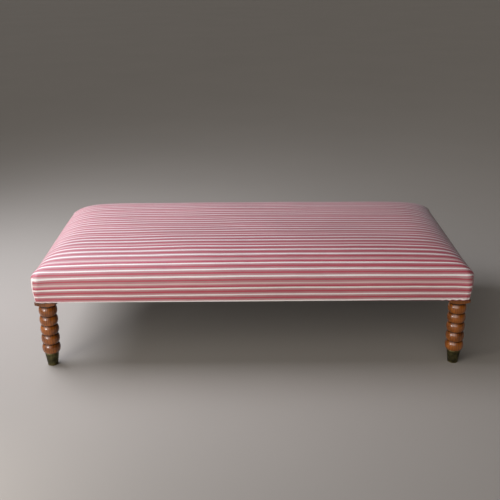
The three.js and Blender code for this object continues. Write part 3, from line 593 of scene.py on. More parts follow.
def ticking_finish(settings):
    """Cotton ticking, woven in stripes: matt threads with a soft bloom at grazing angles, and lines that are
    a little ragged because each thread edge shows."""
    finish, add, shader = new_finish("striped_cotton_ticking")
    cloth = add("UVMap", uv_map="cloth")
    # The real threads lie 0.5 mm apart, too fine to show, so the plain weave is drawn at 1.6 mm.
    split, weave = woven(add, cloth, 1.6 * MM)
    # The lines wander by half a millimetre over a hand's width, and fray by a thread at their edges.
    across, start = split.outputs[1], -STRIPE_START
    for scale, reach in ((7.0, 2.2 * MM), (900.0, 0.9 * MM)):
        stray = add("TexNoise", {"Vector": cloth, "Scale": scale, "Detail": 1.0})
        across = add("Math", [stray, reach, across], operation="MULTIPLY_ADD")
        start -= reach / 2
    across = add("Math", [across, start], operation="ADD")
    widths = [width for width, _ in STRIPES]
    turns = add("Math", [across, sum(widths) * MM], operation="DIVIDE")
    share = add("Math", [turns], operation="FRACT")
    places = (np.cumsum([0, *widths]) / sum(widths)).tolist()
    stops = [(place, opaque(getattr(settings, thread))) for place, (_, thread) in zip(places, STRIPES)]
    stripes = add("ValToRGB", [share], stops=stops)
    stripes.color_ramp.interpolation = "CONSTANT"
    # Slubs: streaks along the warp a few centimetres long. Fading: broad soft patches.
    streaks = add("Mapping", {"Vector": cloth, "Scale": (22.0, 900.0, 1.0)})
    slub = add("TexNoise", {"Vector": streaks, "Scale": 1.0, "Detail": 3.0})
    fading = add("TexNoise", {"Vector": cloth, "Scale": 5.0, "Detail": 3.0})
    slub_shade = add("MapRange", [slub, 0.3, 0.7, 0.9, 1.08])
    fade_shade = add("MapRange", [fading, 0.3, 0.7, 0.94, 1.05])
    shade = add("Math", [slub_shade, fade_shade], operation="MULTIPLY")
    toned = add("VectorMath", {0: stripes, "Scale": shade}, operation="SCALE")
    relief = add("Math", [slub, 1.2, weave], operation="MULTIPLY_ADD")
    bump = add("Bump", {"Strength": 0.35, "Distance": 0.3 * MM, "Height": relief})
    fill_sockets(shader, {"Roughness": 0.5, "Specular IOR Level": 0.85, "Sheen Weight": 0.2})
    fill_sockets(shader, {"Sheen Roughness": 0.3, "Base Color": toned, "Normal": bump})
    return finish


def plain_weave_finish(name, light, dark, thread, depth, roughness):
    """Plain woven cloth, matt: threads pass over and under each other, and their colour is uneven. Real
    calico and black cotton have threads 0.4 mm apart, too fine to show, and are drawn at 1.2 and 0.9 mm."""
    finish, add, shader = new_finish(name)
    place = add("TexCoord").outputs["Object"]
    _, weave = woven(add, place, thread)
    uneven = add("TexNoise", {"Vector": place, "Scale": 0.35 / thread, "Detail": 4.0})
    mixed = add("Math", [weave, 0.3, uneven], operation="MULTIPLY_ADD")
    colour = add("ValToRGB", [mixed], stops=[(0.2, linear(dark)), (0.8, linear(light))])
    bump = add("Bump", {"Strength": 0.6, "Distance": depth, "Height": weave})
    fill_sockets(shader, {"Roughness": roughness, "Sheen Weight": 0.1, "Specular IOR Level": 0.2})
    fill_sockets(shader, {"Base Color": colour, "Normal": bump})
    return finish


def felt_finish(name, light, dark, fibre, depth):
    """Loose fibres in no order: curled hair or cotton wadding, matt and cloudy with a tangled relief."""
    finish, add, shader = new_finish(name)
    place = add("TexCoord").outputs["Object"]
    tangle = add("TexNoise", {"Vector": place, "Scale": 1 / fibre, "Detail": 6.0, "Distortion": 2.5})
    colour = add("ValToRGB", [tangle], stops=[(0.35, linear(dark)), (0.65, linear(light))])
    bump = add("Bump", {"Strength": 0.8, "Distance": depth, "Height": tangle})
    fill_sockets(shader, {"Roughness": 1.0, "Sheen Weight": 0.2, "Specular IOR Level": 0.1})
    fill_sockets(shader, {"Base Color": colour, "Normal": bump})
    return finish


def webbing_finish():
    """Jute webbing: coarse brown yarn in a tight weave, with a red yarn near each selvedge, as is usual."""
    finish, add, shader = new_finish("jute_webbing")
    place = add("UVMap", uv_map="cloth")
    # Yarns lie 2.5 mm apart. The red ones are 2.4 mm wide and lie 17.5 mm from the middle.
    split, weave = woven(add, place, 2.5 * MM)
    uneven = add("TexNoise", {"Vector": place, "Scale": 160.0, "Detail": 4.0})
    mixed = add("Math", [weave, 0.25, uneven], operation="MULTIPLY_ADD")
    yarn = add("ValToRGB", [mixed], stops=[(0.2, linear("#86683c")), (0.8, linear("#bf9c66"))])
    from_middle = add("Math", [split.outputs[1]], operation="ABSOLUTE")
    past_line = add("Math", [from_middle, 17.5 * MM], operation="SUBTRACT")
    from_line = add("Math", [past_line], operation="ABSOLUTE")
    line = add("Math", [from_line, 1.2 * MM], operation="LESS_THAN")
    colour = add("Mix", {0: line, 6: yarn, 7: linear("#8e3b32")}, data_type="RGBA").outputs[2]
    bump = add("Bump", {"Strength": 0.7, "Distance": 0.4 * MM, "Height": weave})
    fill_sockets(shader, {"Roughness": 0.95, "Sheen Weight": 0.15, "Specular IOR Level": 0.2})
    fill_sockets(shader, {"Base Color": colour, "Normal": bump})
    return finish


def polished_wood_finish(settings):
    """Hardwood stained honey brown and French polished: clear streaks of grain along the leg, stain and old
    polish gone dark in the grooves, painted shade on the block under the hem, and small sharp window lights
    on each bead."""
    finish, add, shader = new_finish("stained_polished_hardwood")
    place = add("TexCoord").outputs["Object"]
    # Grain lines 2 to 3 mm apart that run up the leg for a hand's width.
    stretch = add("Mapping", {"Vector": place, "Scale": (1.0, 1.0, 0.09)})
    waves = {"Vector": stretch, "Scale": 55.0, "Distortion": 7.0, "Detail": 3.0, "Detail Scale": 1.4}
    bands = add("TexWave", waves, bands_direction="X").outputs[1]
    pores = add("TexNoise", {"Vector": stretch, "Scale": 900.0, "Detail": 4.0})
    cloud = add("TexNoise", {"Vector": place, "Scale": 35.0, "Detail": 3.0})
    grain = add("Math", [bands, 0.14, cloud], operation="MULTIPLY_ADD")
    grain = add("Math", [pores, 0.3, grain], operation="MULTIPLY_ADD")
    stops = [(0.42, opaque(settings.wood_dark)), (0.92, opaque(settings.wood_light))]
    colour = add("ValToRGB", [grain], stops=stops)
    # The groove attribute darkens the grooves with old polish, and it darkens the block with painted shade
    # under the hem.
    groove = add("Attribute", attribute_name="groove").outputs["Fac"]
    depth = add("MapRange", [groove, 0.45, 1.0, 0.0, 0.92])
    stained = add("Mix", {0: depth, 6: colour, 7: opaque(settings.groove_polish_and_hem_shade)}, data_type="RGBA").outputs[2]
    rough = add("MapRange", [pores, 0.0, 1.0, 0.26, 0.46])
    bump = add("Bump", {"Strength": 0.25, "Distance": 0.2 * MM, "Height": pores})
    fill_sockets(shader, {"IOR": 1.5, "Specular IOR Level": 0.2, "Coat Weight": 1.0, "Coat Roughness": 0.1})
    fill_sockets(shader, {"Coat IOR": 1.55, "Base Color": stained, "Roughness": rough, "Normal": bump})
    return finish


def beech_finish():
    """Bare planed beech: pale pink-brown, with the short dark flecks of its rays and a dull surface."""
    finish, add, shader = new_finish("planed_beech")
    place = add("TexCoord").outputs["Object"]
    stretch = add("Mapping", {"Vector": place, "Scale": (0.12, 0.12, 1.0)})
    waves = {"Vector": stretch, "Scale": 45.0, "Distortion": 9.0, "Detail": 3.0}
    lines = add("TexWave", waves, bands_direction="Z").outputs[1]
    # Ray flecks are about 1 mm by 5 mm.
    fleck_place = add("Mapping", {"Vector": place, "Scale": (0.3, 0.3, 1.0)})
    flecks = add("TexNoise", {"Vector": fleck_place, "Scale": 800.0, "Detail": 1.0})
    mixed = add("Math", [lines, 0.5, flecks], operation="MULTIPLY_ADD")
    colour = add("ValToRGB", [mixed], stops=[(0.3, linear("#a87f52")), (0.95, linear("#d3b182"))])
    bump = add("Bump", {"Strength": 0.2, "Distance": 0.2 * MM, "Height": mixed})
    fill_sockets(shader, {"Roughness": 0.72, "IOR": 1.5, "Specular IOR Level": 0.35})
    fill_sockets(shader, {"Base Color": colour, "Normal": bump})
    return finish


def aged_brass_finish(settings):
    """Cast brass gone dark: an olive-brown skin that is uneven and half matt, rubbed brighter at the rim and
    round the foot."""
    finish, add, shader = new_finish("aged_brass")
    place = add("TexCoord").outputs["Object"]
    patches = add("TexNoise", {"Vector": place, "Scale": 90.0, "Detail": 5.0})
    stops = [(0.35, opaque(settings.brass_dark)), (0.7, opaque(settings.brass))]
    colour = add("ValToRGB", [patches], stops=stops)
    wear = add("Attribute", attribute_name="wear").outputs["Fac"]
    rubbed = add("Math", [wear, patches], operation="MULTIPLY")
    bright = add("Mix", {0: rubbed, 6: colour, 7: linear("#86794a")}, data_type="RGBA").outputs[2]
    rough = add("MapRange", [patches, 0.0, 1.0, 0.6, 0.3])
    scratches = add("TexNoise", {"Vector": place, "Scale": 700.0, "Detail": 2.0})
    bump = add("Bump", {"Strength": 0.25, "Distance": 0.2 * MM, "Height": scratches})
    fill_sockets(shader, {"Metallic": 1.0, "Base Color": bright, "Roughness": rough, "Normal": bump})
    return finish


def steel_finish(name, light, dark, roughness):
    """Plain or blued steel of screws and tacks: grey metal, faintly stained."""
    finish, add, shader = new_finish(name)
    place = add("TexCoord").outputs["Object"]
    stains = add("TexNoise", {"Vector": place, "Scale": 600.0, "Detail": 3.0})
    colour = add("ValToRGB", [stains], stops=[(0.3, linear(dark)), (0.7, linear(light))])
    fill_sockets(shader, {"Metallic": 1.0, "Roughness": roughness, "Base Color": colour})
    return finish


def studio_floor_finish(settings):
    """Matt painted studio floor: pale, a touch uneven, with no gloss."""
    finish, add, shader = new_finish("matt_painted_floor")
    place = add("TexCoord").outputs["Object"]
    cloud = add("TexNoise", {"Vector": place, "Scale": 1.3, "Detail": 4.0})
    darker = [part * 0.965 for part in settings.floor]
    colour = add("ValToRGB", [cloud], stops=[(0.3, opaque(darker)), (0.7, opaque(settings.floor))])
    fill_sockets(shader, {"Roughness": 0.9, "Specular IOR Level": 0.2, "Base Color": colour})
    return finish


# Settings that a user may change


def colour_setting(name, description, code):
    """A colour property with a default given as sRGB hex."""
    return bpy.props.FloatVectorProperty(
        name=name, description=description, default=linear(code)[:3], subtype="COLOR", min=0, max=1
    )


def amount_setting(name, description, default, unit="LENGTH"):
    """A property that is never below 0, in metres if no other unit is named."""
    return bpy.props.FloatProperty(name=name, description=description, default=default, min=0, unit=unit)


class FootstoolCoverSettings(bpy.types.PropertyGroup):
    cream: colour_setting("Cream", "Undyed threads of the ticking", "#e9e2dc")
    shaded_cream: colour_setting("Shaded cream", "The duller line above each narrow space", "#cfb4ad")
    red: colour_setting("Red", "Middle of each red stripe", "#b14150")
    rose: colour_setting("Rose", "Thin stripes beside the cream lines", "#c0717b")
    pin_line: colour_setting("Pin line", "Grey threads either side of the red", "#ab8784")
    corner_swell: amount_setting("Corner swell", "How far the stuffing fills the corners", 3.4 * MM)
    pleat_lap: amount_setting("Pleat lap", "How far the folded cloth stands out", 1.4 * MM)
    gathers: amount_setting("Gathers", "Depth of the gathers beside the pleats", 0.8 * MM)
    hem_puckers: amount_setting("Hem puckers", "Depth of the puckers over the legs", 2.0 * MM)
    unevenness: amount_setting("Unevenness", "Swell of the stuffing under the top", 1.6 * MM)


class FootstoolWoodSettings(bpy.types.PropertyGroup):
    wood_light: colour_setting("Light wood", "Light grain of the legs", "#9c5716")
    wood_dark: colour_setting("Dark wood", "Dark grain of the legs", "#4a2206")
    # This colour is also the painted shade on the block under the hem.
    groove_polish_and_hem_shade: colour_setting("Groove", "Old polish in the grooves", "#1d0d05")
    brass: colour_setting("Brass", "Skin of the toe caps", "#706a46")
    brass_dark: colour_setting("Dark brass", "Darkest patches of the toe caps", "#3a382a")


class FootstoolStageSettings(bpy.types.PropertyGroup):
    floor: colour_setting("Floor", "Paint of the studio floor", "#b0a89e")
    window_power: amount_setting("Window power", "Light from the left", 34.0, "POWER")
    highlight_power: amount_setting("Highlight power", "Small window at the front left", 4.8, "POWER")
    front_glow: amount_setting("Front glow", "Strength of the room's light from the front", 3.1, "NONE")
    back_glow: amount_setting("Back glow", "Strength of the light behind the stool", 0.5, "NONE")
    fill: amount_setting("Fill", "Strength of the room's even light", 0.02, "NONE")


# Pieces


class FOOTSTOOL_OT_cover(bpy.types.Operator):
    """Stretches the striped ticking over the pad, with its pleats, hem and corner stitches"""

    bl_idname = "footstool.cover"
    bl_label = "Top cover"

    def execute(self, context):
        settings = context.scene.footstool_cover
        points, faces, uv = cover_cloth(outline_recipe(*COVER_STEPS), settings)
        finish = ticking_finish(settings)
        cover = new_piece("ticking_cover", points, faces, finish, "striped_ticking", "top_cover", uv)
        thicken(cover, CLOTH)
        thread = plain_weave_finish("linen_stitching_thread", "#e6dccb", "#c4b49c", 0.4 * MM, 0.1 * MM, 0.7)
        new_piece("corner_stitches", *corner_stitches(settings), thread, "striped_ticking")
        return {"FINISHED"}


def corner_stitches(settings):
    """Slip stitches that close each pleat from the hem to the widest line. Each is a short spindle that lies
    across the fold, level and square to the corner's diagonal."""
    radii = np.array([0.05, 0.3, 0.34, 0.3, 0.05]) * MM
    along = np.array([-1, -0.6, 0, 0.6, 1]) * STITCH_HALF
    shape, faces = turned(np.repeat(radii[:, None], 6, 1), along, 0, 0)
    stitches = []
    for sign_x, sign_y in CORNERS.values():
        across = np.array([sign_x, -sign_y, 0]) / math.sqrt(2)
        outward = np.array([sign_x, sign_y, 0]) / math.sqrt(2)
        laid = shape @ np.stack([outward, np.cross(across, outward), across])
        for z in np.arange(HEM + STITCH_PITCH, EDGE, STITCH_PITCH):
            inset, radius, up = wall_at(z)
            centre = np.array([(HALF_X - inset - radius) * sign_x, (HALF_Y - inset - radius) * sign_y, z])
            out = radius + settings.corner_swell * swell_share(up) + 0.4 * settings.pleat_lap
            stitches.append((laid + centre + outward * out + across * 0.6 * MM, faces))
    return joined(stitches)


def wadding_back(height):
    """How deep the back of the wadding lies at a height: it thins evenly from the widest line to the hem."""
    return COVER_DEPTH + WADDING_AT_HEM + (WADDING - WADDING_AT_HEM) * wall_at(height)[2]


class FOOTSTOOL_OT_linings(bpy.types.Operator):
    """Lays the cotton wadding and the calico that pulls the stuffing down"""

    bl_idname = "footstool.linings"
    bl_label = "Wadding and calico"

    def execute(self, context):
        recipe = outline_recipe(*LINING_STEPS)
        heights = np.linspace(EDGE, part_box("wadding")[0].z, 8)[1:]
        face, back = np.full(len(heights), COVER_DEPTH), wadding_back(heights)
        points, faces = two_skins(recipe, heights, face, back, COVER_DEPTH, WADDING)
        finish = felt_finish("cotton_wadding", "#f3f0e8", "#ddd8ca", 4 * MM, 1 * MM)
        wadding = new_piece("cotton_wadding", points, faces, finish, "wadding", "wadding", sharp=60)

        heights = np.linspace(EDGE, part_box("calico_cover")[0].z, 6)[1:]
        face = wadding_back(heights) + LAYER_GAP
        depth = COVER_DEPTH + WADDING + LAYER_GAP
        points, faces = two_skins(recipe, heights, face, face + CALICO, depth, CALICO)
        finish = plain_weave_finish("unbleached_calico", "#e9dfc8", "#d2c4a6", 1.2 * MM, 0.2 * MM, 0.9)
        calico = new_piece("calico_lining", points, faces, finish, "calico", "calico_cover", sharp=60)
        return {"FINISHED"}


class FOOTSTOOL_OT_stuffing(bpy.types.Operator):
    """Builds the pad of curled hair on the hessian"""

    bl_idname = "footstool.stuffing"
    bl_label = "Hair pad"

    def execute(self, context):
        depth = COVER_DEPTH + WADDING + CALICO + 2 * LAYER_GAP
        top, _, numbers, _ = pad_skin(outline_recipe(*HAIR_STEPS), [], depth)
        # Locks of hair stand up to a millimetre high, as crossed sine waves that bend each other. Nothing is
        # lower than the foot, which lies flat on the hessian.
        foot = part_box("hair_pad")[0].z
        upper, rim = top.reshape(-1, 3).copy(), rim_numbers(numbers)
        x, y, z = upper.T
        locks = np.sin(x / 0.0071 + 2 * np.sin(y / 0.013)) * np.sin(y / 0.0083 + 2 * np.sin(x / 0.017))
        upper[:, 2] = np.maximum(z - 0.5 * MM * (1 + locks), foot)
        lower = np.stack([x, y, np.full(len(x), foot)], 1)
        lower[rim, 2] -= 0.05 * MM
        faces, wall = grid_faces(numbers), ring_faces(np.array([rim, rim + len(upper)]))
        points, faces = np.concatenate([upper, lower]), [faces, faces[:, ::-1] + len(upper), wall]
        finish = felt_finish("curled_hair", "#6b5442", "#241a12", 6 * MM, 2 * MM)
        pad = new_piece("curled_hair", points, np.concatenate(faces), finish, "hair_stuffing", "hair_pad")
        return {"FINISHED"}


def strap(path, width, thickness):
    """A flat strap carried along a path of (along, height): a rectangle with rounded edges, set square to the
    path at each point, with flat ends. Its map is the run along the path and the place across."""
    step = np.gradient(path, axis=0)
    step = step / np.linalg.norm(step, axis=1, keepdims=True)
    half, edge = width / 2, thickness / 2
    inner = half - edge * 0.7
    one_face = np.array([-1, -1 / 3, 1 / 3, 1]) * inner
    across = np.concatenate([one_face, [half, half], one_face[::-1], [-half, -half]])
    lift = np.array([1, 1, 1, 1, 0.45, -0.45, -1, -1, -1, -1, -0.45, 0.45]) * edge
    along = path[:, None, 0] - step[:, None, 1] * lift
    height = path[:, None, 1] + step[:, None, 0] * lift
    ring = np.stack([along, np.broadcast_to(across, along.shape), height], -1)
    numbers = numbered(ring)
    faces = grid_faces(went_round(numbers))[:, ::-1].tolist()
    faces += [numbers[0, ::-1].tolist(), numbers[-1].tolist()]
    run = np.append(0, np.cumsum(np.linalg.norm(np.diff(path, axis=0), axis=1)))
    place = np.stack(np.broadcast_arrays(run[:, None], np.append(across, across[0])), -1)
    uv = [quads(place)[:, :, ::-1].reshape(-1, 2), place[0, -2::-1], place[-1, :-1]]
    return ring.reshape(-1, 3), faces, np.concatenate(uv)


def web_path(crossings, first, reach, seat, end, level):
    """The path of a web as (along, height). It passes over and under the webs that it crosses by turns, from
    this side of the first: level for a reach either side of each, and 3t^2 - 2t^3 between. Past its seat on
    a rail each end runs on, turns back in a half circle and lies on itself for the length of the fold."""
    sides = first * (-1) ** np.arange(len(crossings))
    at = np.concatenate([[-seat], np.add.outer(crossings, [-reach, reach]).ravel(), [seat]])
    heights = np.concatenate([[0], np.repeat(sides * WEB_LIFT, 2), [0]])
    fine = np.linspace(-seat, seat, 34 * len(crossings))
    index = np.clip(np.searchsorted(at, fine) - 1, 0, len(at) - 2)
    share = smooth_step((fine - at[index]) / (at[index + 1] - at[index]))
    height = heights[index] + (heights[index + 1] - heights[index]) * share
    turn = np.linspace(math.pi / 2, -math.pi / 2, 9)
    half = WEB_THICKNESS / 2
    bend = np.stack([end - WEB_THICKNESS + half * np.cos(turn), level + half + half * np.sin(turn)], 1)
    upper = [[end - WEB_FOLD, level + WEB_THICKNESS], [end - WEB_FOLD / 2, level + WEB_THICKNESS]]
    folded = np.concatenate([upper, bend, [[seat + 2 * MM, level]]])
    return np.concatenate([folded * [-1, 1], np.stack([fine, level + height], 1), folded[::-1]])


class FOOTSTOOL_OT_webbing(bpy.types.Operator):
    """Strains the jute webs over the rails, interlaced, with folded ends and tacks"""

    bl_idname = "footstool.webbing"
    bl_label = "Webbing"

    def execute(self, context):
        finish = webbing_finish()
        bottom = SIDE_RAIL_HIGH.z + JOINT_GAP
        long_webs = [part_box(f"web_long_{i}") for i in range(1, 5)]
        cross_webs = [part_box(f"web_cross_{i}") for i in range(1, 10)]
        long_middles = [(low.y + high.y) / 2 for low, high in long_webs]
        cross_middles = [(low.x + high.x) / 2 for low, high in cross_webs]
        low, high = long_webs[0]
        width = high.y - low.y
        ends = {"long": high.x, "cross": cross_webs[0][1].y}
        tacks = []
        for kind, middles, crossings, seat, rests, first in (
            ("long", long_middles, cross_middles, END_RAIL_LOW.x, ["rail_left", "rail_right"], 1),
            ("cross", cross_middles, long_middles, SIDE_RAIL_LOW.y, ["rail_front", "rail_back"], -1),
        ):
            end = ends[kind]
            for i, middle in enumerate(middles):
                side, reach = first * (-1) ** i, width / 2 + WEB_EASE
                path = web_path(crossings, side, reach, seat, end, bottom + WEB_THICKNESS / 2)
                points, faces, uv = strap(path, width, WEB_THICKNESS * 0.96)
                # Three tacks hold each end, the middle one further in.
                spots = [
                    (way * (end - WEB_FOLD * fold), share * width, bottom + 2 * WEB_THICKNESS)
                    for way in (-1, 1)
                    for share, fold in ((-0.34, 0.45), (0, 0.7), (0.34, 0.45))
                ]
                spots = np.array(spots) + [0, middle, 0]
                if kind == "long":
                    points = points + [0, middle, 0]
                else:
                    # A web across is turned by a quarter, so its faces still point outwards.
                    points = points[:, [1, 0, 2]] * [-1, 1, 1] + [middle, 0, 0]
                    spots = spots[:, [1, 0, 2]]
                tacks += spots.tolist()
                name, node = f"webbing_{kind}_{i + 1}", f"web_{kind}_{i + 1}"
                web = new_piece(name, points, faces, finish, "jute_webbing", node, uv, sharp=50)
        add_tacks("web_tacks", 3 * MM, 0.35 * MM, 1, tacks)
        return {"FINISHED"}


def add_tacks(name, radius, height, up, places):
    """Low domed tack heads that face up (1) or down (-1): radius times cos a against height times sin a."""
    angle = np.array([0, 0.5, 1.1])
    radii = np.append(0.55 * radius, radius * np.cos(angle))
    heights = np.append(0, height * np.sin(angle) + 0.02 * MM)
    shape, faces = turned(np.repeat(radii[:, None], 10, 1), heights, 0, 0)
    faces = [face[::up] for face in faces]
    points, faces = joined([(shape * [1, 1, up] + place, faces) for place in places])
    steel = bpy.data.materials.get("blued_steel_tacks")
    steel = steel or steel_finish("blued_steel_tacks", "#5a6068", "#2c3036", 0.4)
    new_piece(name, points, faces, steel, "screw_steel", sharp=40)


class FOOTSTOOL_OT_hessian(bpy.types.Operator):
    """Stretches the hessian over the webs"""

    bl_idname = "footstool.hessian"
    bl_label = "Hessian"

    def execute(self, context):
        along = np.linspace(HESSIAN_LOW.x, HESSIAN_HIGH.x, 90)
        x, y = np.meshgrid(along, np.linspace(HESSIAN_LOW.y, HESSIAN_HIGH.y, 46))
        ripple = 0.04 * MM * (1 + np.sin(x / 0.019) * np.sin(y / 0.019))
        points = np.stack([x, y, HESSIAN_HIGH.z - ripple], -1)
        finish = plain_weave_finish("jute_hessian", "#bb9c6b", "#7d6238", 2.2 * MM, 0.4 * MM, 0.95)
        faces = grid_faces(numbered(points))
        cloth = new_piece("hessian_cloth", points.reshape(-1, 3), faces, finish, "hessian", "hessian")
        thicken(cloth, (HESSIAN_HIGH.z - HESSIAN_LOW.z) * 0.9)
        return {"FINISHED"}


def notched_places(half, notch, steps):
    """Places across a cloth from edge to edge: even between its notches, and three more beside each notch."""
    beside = np.array([(half + notch) / 2, half - 8 * MM, half])
    return np.concatenate([-beside[::-1], np.linspace(-1, 1, steps) * notch, beside])


class FOOTSTOOL_OT_bottoming(bpy.types.Operator):
    """Closes the underside with black cotton, notched round the legs and tacked to the rails"""

    bl_idname = "footstool.bottoming"
    bl_label = "Bottoming cloth"

    def execute(self, context):
        notch_x, notch_y = LEG_LOW.x - JOINT_GAP, LEG_LOW.y - JOINT_GAP
        half_x, half_y, high = BOTTOMING_HIGH
        x, y = notched_places(half_x, notch_x, 79), notched_places(half_y, notch_y, 39)
        middle_x, middle_y = (np.abs(places[:-1] + places[1:]) / 2 for places in (x, y))
        kept = ~((middle_x > notch_x) & (middle_y[:, None] > notch_y))
        # It sags by (1 - (x / a)^4) (1 - (y / b)^2) between the rails.
        x, y = np.meshgrid(x, y)
        sag = np.clip(1 - (x / END_RAIL_LOW.x) ** 4, 0, 1) * np.clip(1 - (y / SIDE_RAIL_LOW.y) ** 2, 0, 1)
        points = np.stack([x, y, BOTTOMING_LOW.z - SAG * sag], -1)
        used, faces = np.unique(grid_faces(numbered(points))[kept.ravel(), ::-1], return_inverse=True)
        points, faces = points.reshape(-1, 3)[used], faces.reshape(-1, 4)
        finish = plain_weave_finish("black_cotton_bottoming", "#2b2a2c", "#111113", 0.9 * MM, 0.15 * MM, 0.9)
        cloth = new_piece("black_bottoming_cloth", points, faces, finish, "black_bottoming", "bottoming")
        thicken(cloth, high - BOTTOMING_LOW.z)

        # Tacks 38 mm apart along the rails.
        on_side = np.linspace(-1, 1, 28) * (notch_x - TACK_CLEAR)
        on_end = np.linspace(-1, 1, 13) * (notch_y - TACK_CLEAR)
        low = BOTTOMING_LOW.z
        places = [(a, side * (half_y - TACK_INSET), low) for side in (-1, 1) for a in on_side]
        places += [(side * (half_x - TACK_INSET), a, low) for side in (-1, 1) for a in on_end]
        add_tacks("bottoming_tacks", 2.6 * MM, 0.8 * MM, -1, places)
        return {"FINISHED"}


def leg_profile():
    """Heights and radii of a leg from its foot up, and how deep each row lies in a groove, from 0 to 1, which
    on the block also carries painted shade under the hem. Each bead is a bulge on the groove radius: r =
    groove + (bead - groove) sin^1.5 a at -cos a."""
    foot, seat, spigot = CAP_BASE + JOINT_GAP, CAP_TOP + JOINT_GAP, CAP_WALL + JOINT_GAP
    rows = [np.array([[CAP_FOOT_RADIUS - spigot, foot], [CAP_TOP_RADIUS - spigot, seat]])]
    pitch = (BLOCK_BOTTOM - NECK - seat) / BEAD_COUNT
    angle = np.linspace(0, math.pi, BEAD_STEPS + 1)
    radius = GROOVE_RADIUS + (BEAD_RADIUS - GROOVE_RADIUS) * np.sin(angle) ** 1.5
    for bead in range(BEAD_COUNT):
        height = seat + pitch * (bead + (1 - np.cos(angle)) / 2)
        rows.append(np.stack([radius, height], 1)[1 if bead else 0 :])
    angle = np.linspace(0, math.pi / 2, 7)
    neck = GROOVE_RADIUS + (PUMMEL_RADIUS - GROOVE_RADIUS) * (1 - np.cos(angle))
    rows.append(np.stack([neck, BLOCK_BOTTOM - NECK + NECK * np.sin(angle)], 1)[1:])
    corner = BLOCK_HALF * math.sqrt(2)
    share = np.linspace(0, 1, 13)
    shoulder = BLOCK_BOTTOM + PUMMEL_ROUND * (0.75 * share + 0.25 * share**4)
    rows.append(np.stack([PUMMEL_RADIUS + (corner - PUMMEL_RADIUS) * share, shoulder], 1)[1:])
    rows.append([[corner, BLOCK_TOP - POST_LET_IN], [corner, BLOCK_TOP]])
    radii, heights = np.concatenate(rows).T
    groove = np.clip((BEAD_RADIUS - radii) / (BEAD_RADIUS - GROOVE_RADIUS), 0, 1)
    # Painted shade: the block is a little darker too, most of all under the hem, where the hem's shadow falls
    # on it.
    block = 0.55 + 0.15 * smooth_step((heights - BLOCK_BOTTOM) / BLOCK_SHOWN)
    return heights, radii, np.where(heights > BLOCK_BOTTOM, np.maximum(groove, block), groove)


def leg_post(node):
    """The post of a leg above its block, with its mortises: a copy of the frame's own leg, cut off just above
    the block and let down into it."""
    cut = BLOCK_TOP + 0.5 * MM
    copy = bmesh.new()
    copy.from_mesh(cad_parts[node].data)
    bmesh.ops.remove_doubles(copy, verts=copy.verts, dist=1e-6)
    everything = [*copy.verts, *copy.edges, *copy.faces]
    bmesh.ops.bisect_plane(copy, geom=everything, plane_co=(0, 0, cut), plane_no=(0, 0, 1), clear_inner=True)
    bmesh.ops.holes_fill(copy, edges=[edge for edge in copy.edges if edge.is_boundary], sides=0)
    bmesh.ops.recalc_face_normals(copy, faces=copy.faces)
    copy.verts.index_update()
    points = np.array([vertex.co[:] for vertex in copy.verts])
    faces = [[vertex.index for vertex in face.verts] for face in copy.faces]
    copy.free()
    points[points[:, 2] < cut + 0.1 * MM, 2] = BLOCK_TOP - POST_LET_IN
    return points, faces


class FOOTSTOOL_OT_legs(bpy.types.Operator):
    """Turns the four legs: spigot, five beads, neck, square block and the rebated post above the hem"""

    bl_idname = "footstool.legs"
    bl_label = "Turned legs"

    def execute(self, context):
        finish = polished_wood_finish(context.scene.footstool_wood)
        heights, profile, groove = leg_profile()
        # The square block cuts the turned rows: r = half side / max(|cos a|, |sin a|), less its worn arris.
        angle = np.arange(TURN_SIDES) * 2 * math.pi / TURN_SIDES
        square = BLOCK_HALF / np.maximum(np.abs(np.cos(angle)), np.abs(np.sin(angle)))
        radii = np.minimum(profile[:, None], np.minimum(square, BLOCK_HALF * math.sqrt(2) - BLOCK_ARRIS))
        for corner, (sign_x, sign_y) in CORNERS.items():
            shaft, post = turned(radii, heights, sign_x * LEG_X, sign_y * LEG_Y), leg_post(f"leg_{corner}")
            depth = np.concatenate([np.repeat(groove, TURN_SIDES), np.zeros(2 + len(post[0]))])
            name, held = f"turned_leg_{corner}", ("groove", depth)
            points, faces = joined([shaft, post])
            new_piece(name, points, faces, finish, "turned_wood", f"leg_{corner}", sharp=38, attribute=held)
        return {"FINISHED"}


def cap_profile():
    """Turned radii and heights of a toe cap, from under its foot to the rim and back down inside: a quarter
    round at the foot, a straight taper, and a rim whose section is an ellipse. The wear is e^(-(z / w)^2)
    round the middle of the rim and round the foot."""
    arris = np.linspace(0, math.pi / 2, 5)
    foot = [CAP_FOOT_RADIUS - CAP_ARRIS * (1 - np.sin(arris)), CAP_ARRIS * (1 - np.cos(arris))]
    taper = (CAP_TOP_RADIUS - CAP_FOOT_RADIUS) / (CAP_TOP - CAP_ARRIS)
    heights = np.linspace(3 * MM, CAP_TOP - 2 * RIM_HALF_HEIGHT - 0.4 * MM, 12)
    wall = [CAP_FOOT_RADIUS + taper * (heights - CAP_ARRIS) - RIM_PROUD, heights]
    turn, middle = np.linspace(0.2, math.pi - 0.25, 9), CAP_TOP - RIM_HALF_HEIGHT
    rim = [CAP_TOP_RADIUS - RIM_HALF_WIDTH * (1 - np.sin(turn)), middle - RIM_HALF_HEIGHT * np.cos(turn)]
    radii = [0.4 * CAP_FOOT_RADIUS, 0.8 * CAP_FOOT_RADIUS, *foot[0], *wall[0], *rim[0]]
    radii += [CAP_TOP_RADIUS - CAP_WALL, CAP_FOOT_RADIUS - CAP_WALL, 0.4 * CAP_FOOT_RADIUS]
    heights = np.array([0, 0, *foot[1], *wall[1], *rim[1], CAP_TOP - 0.1 * MM, CAP_BASE, CAP_BASE])
    wear = bell((heights - middle) / (2 * MM)) + bell((heights - CAP_ARRIS) / (2.5 * MM))
    return np.array(radii), heights, np.clip(wear, 0, 1)


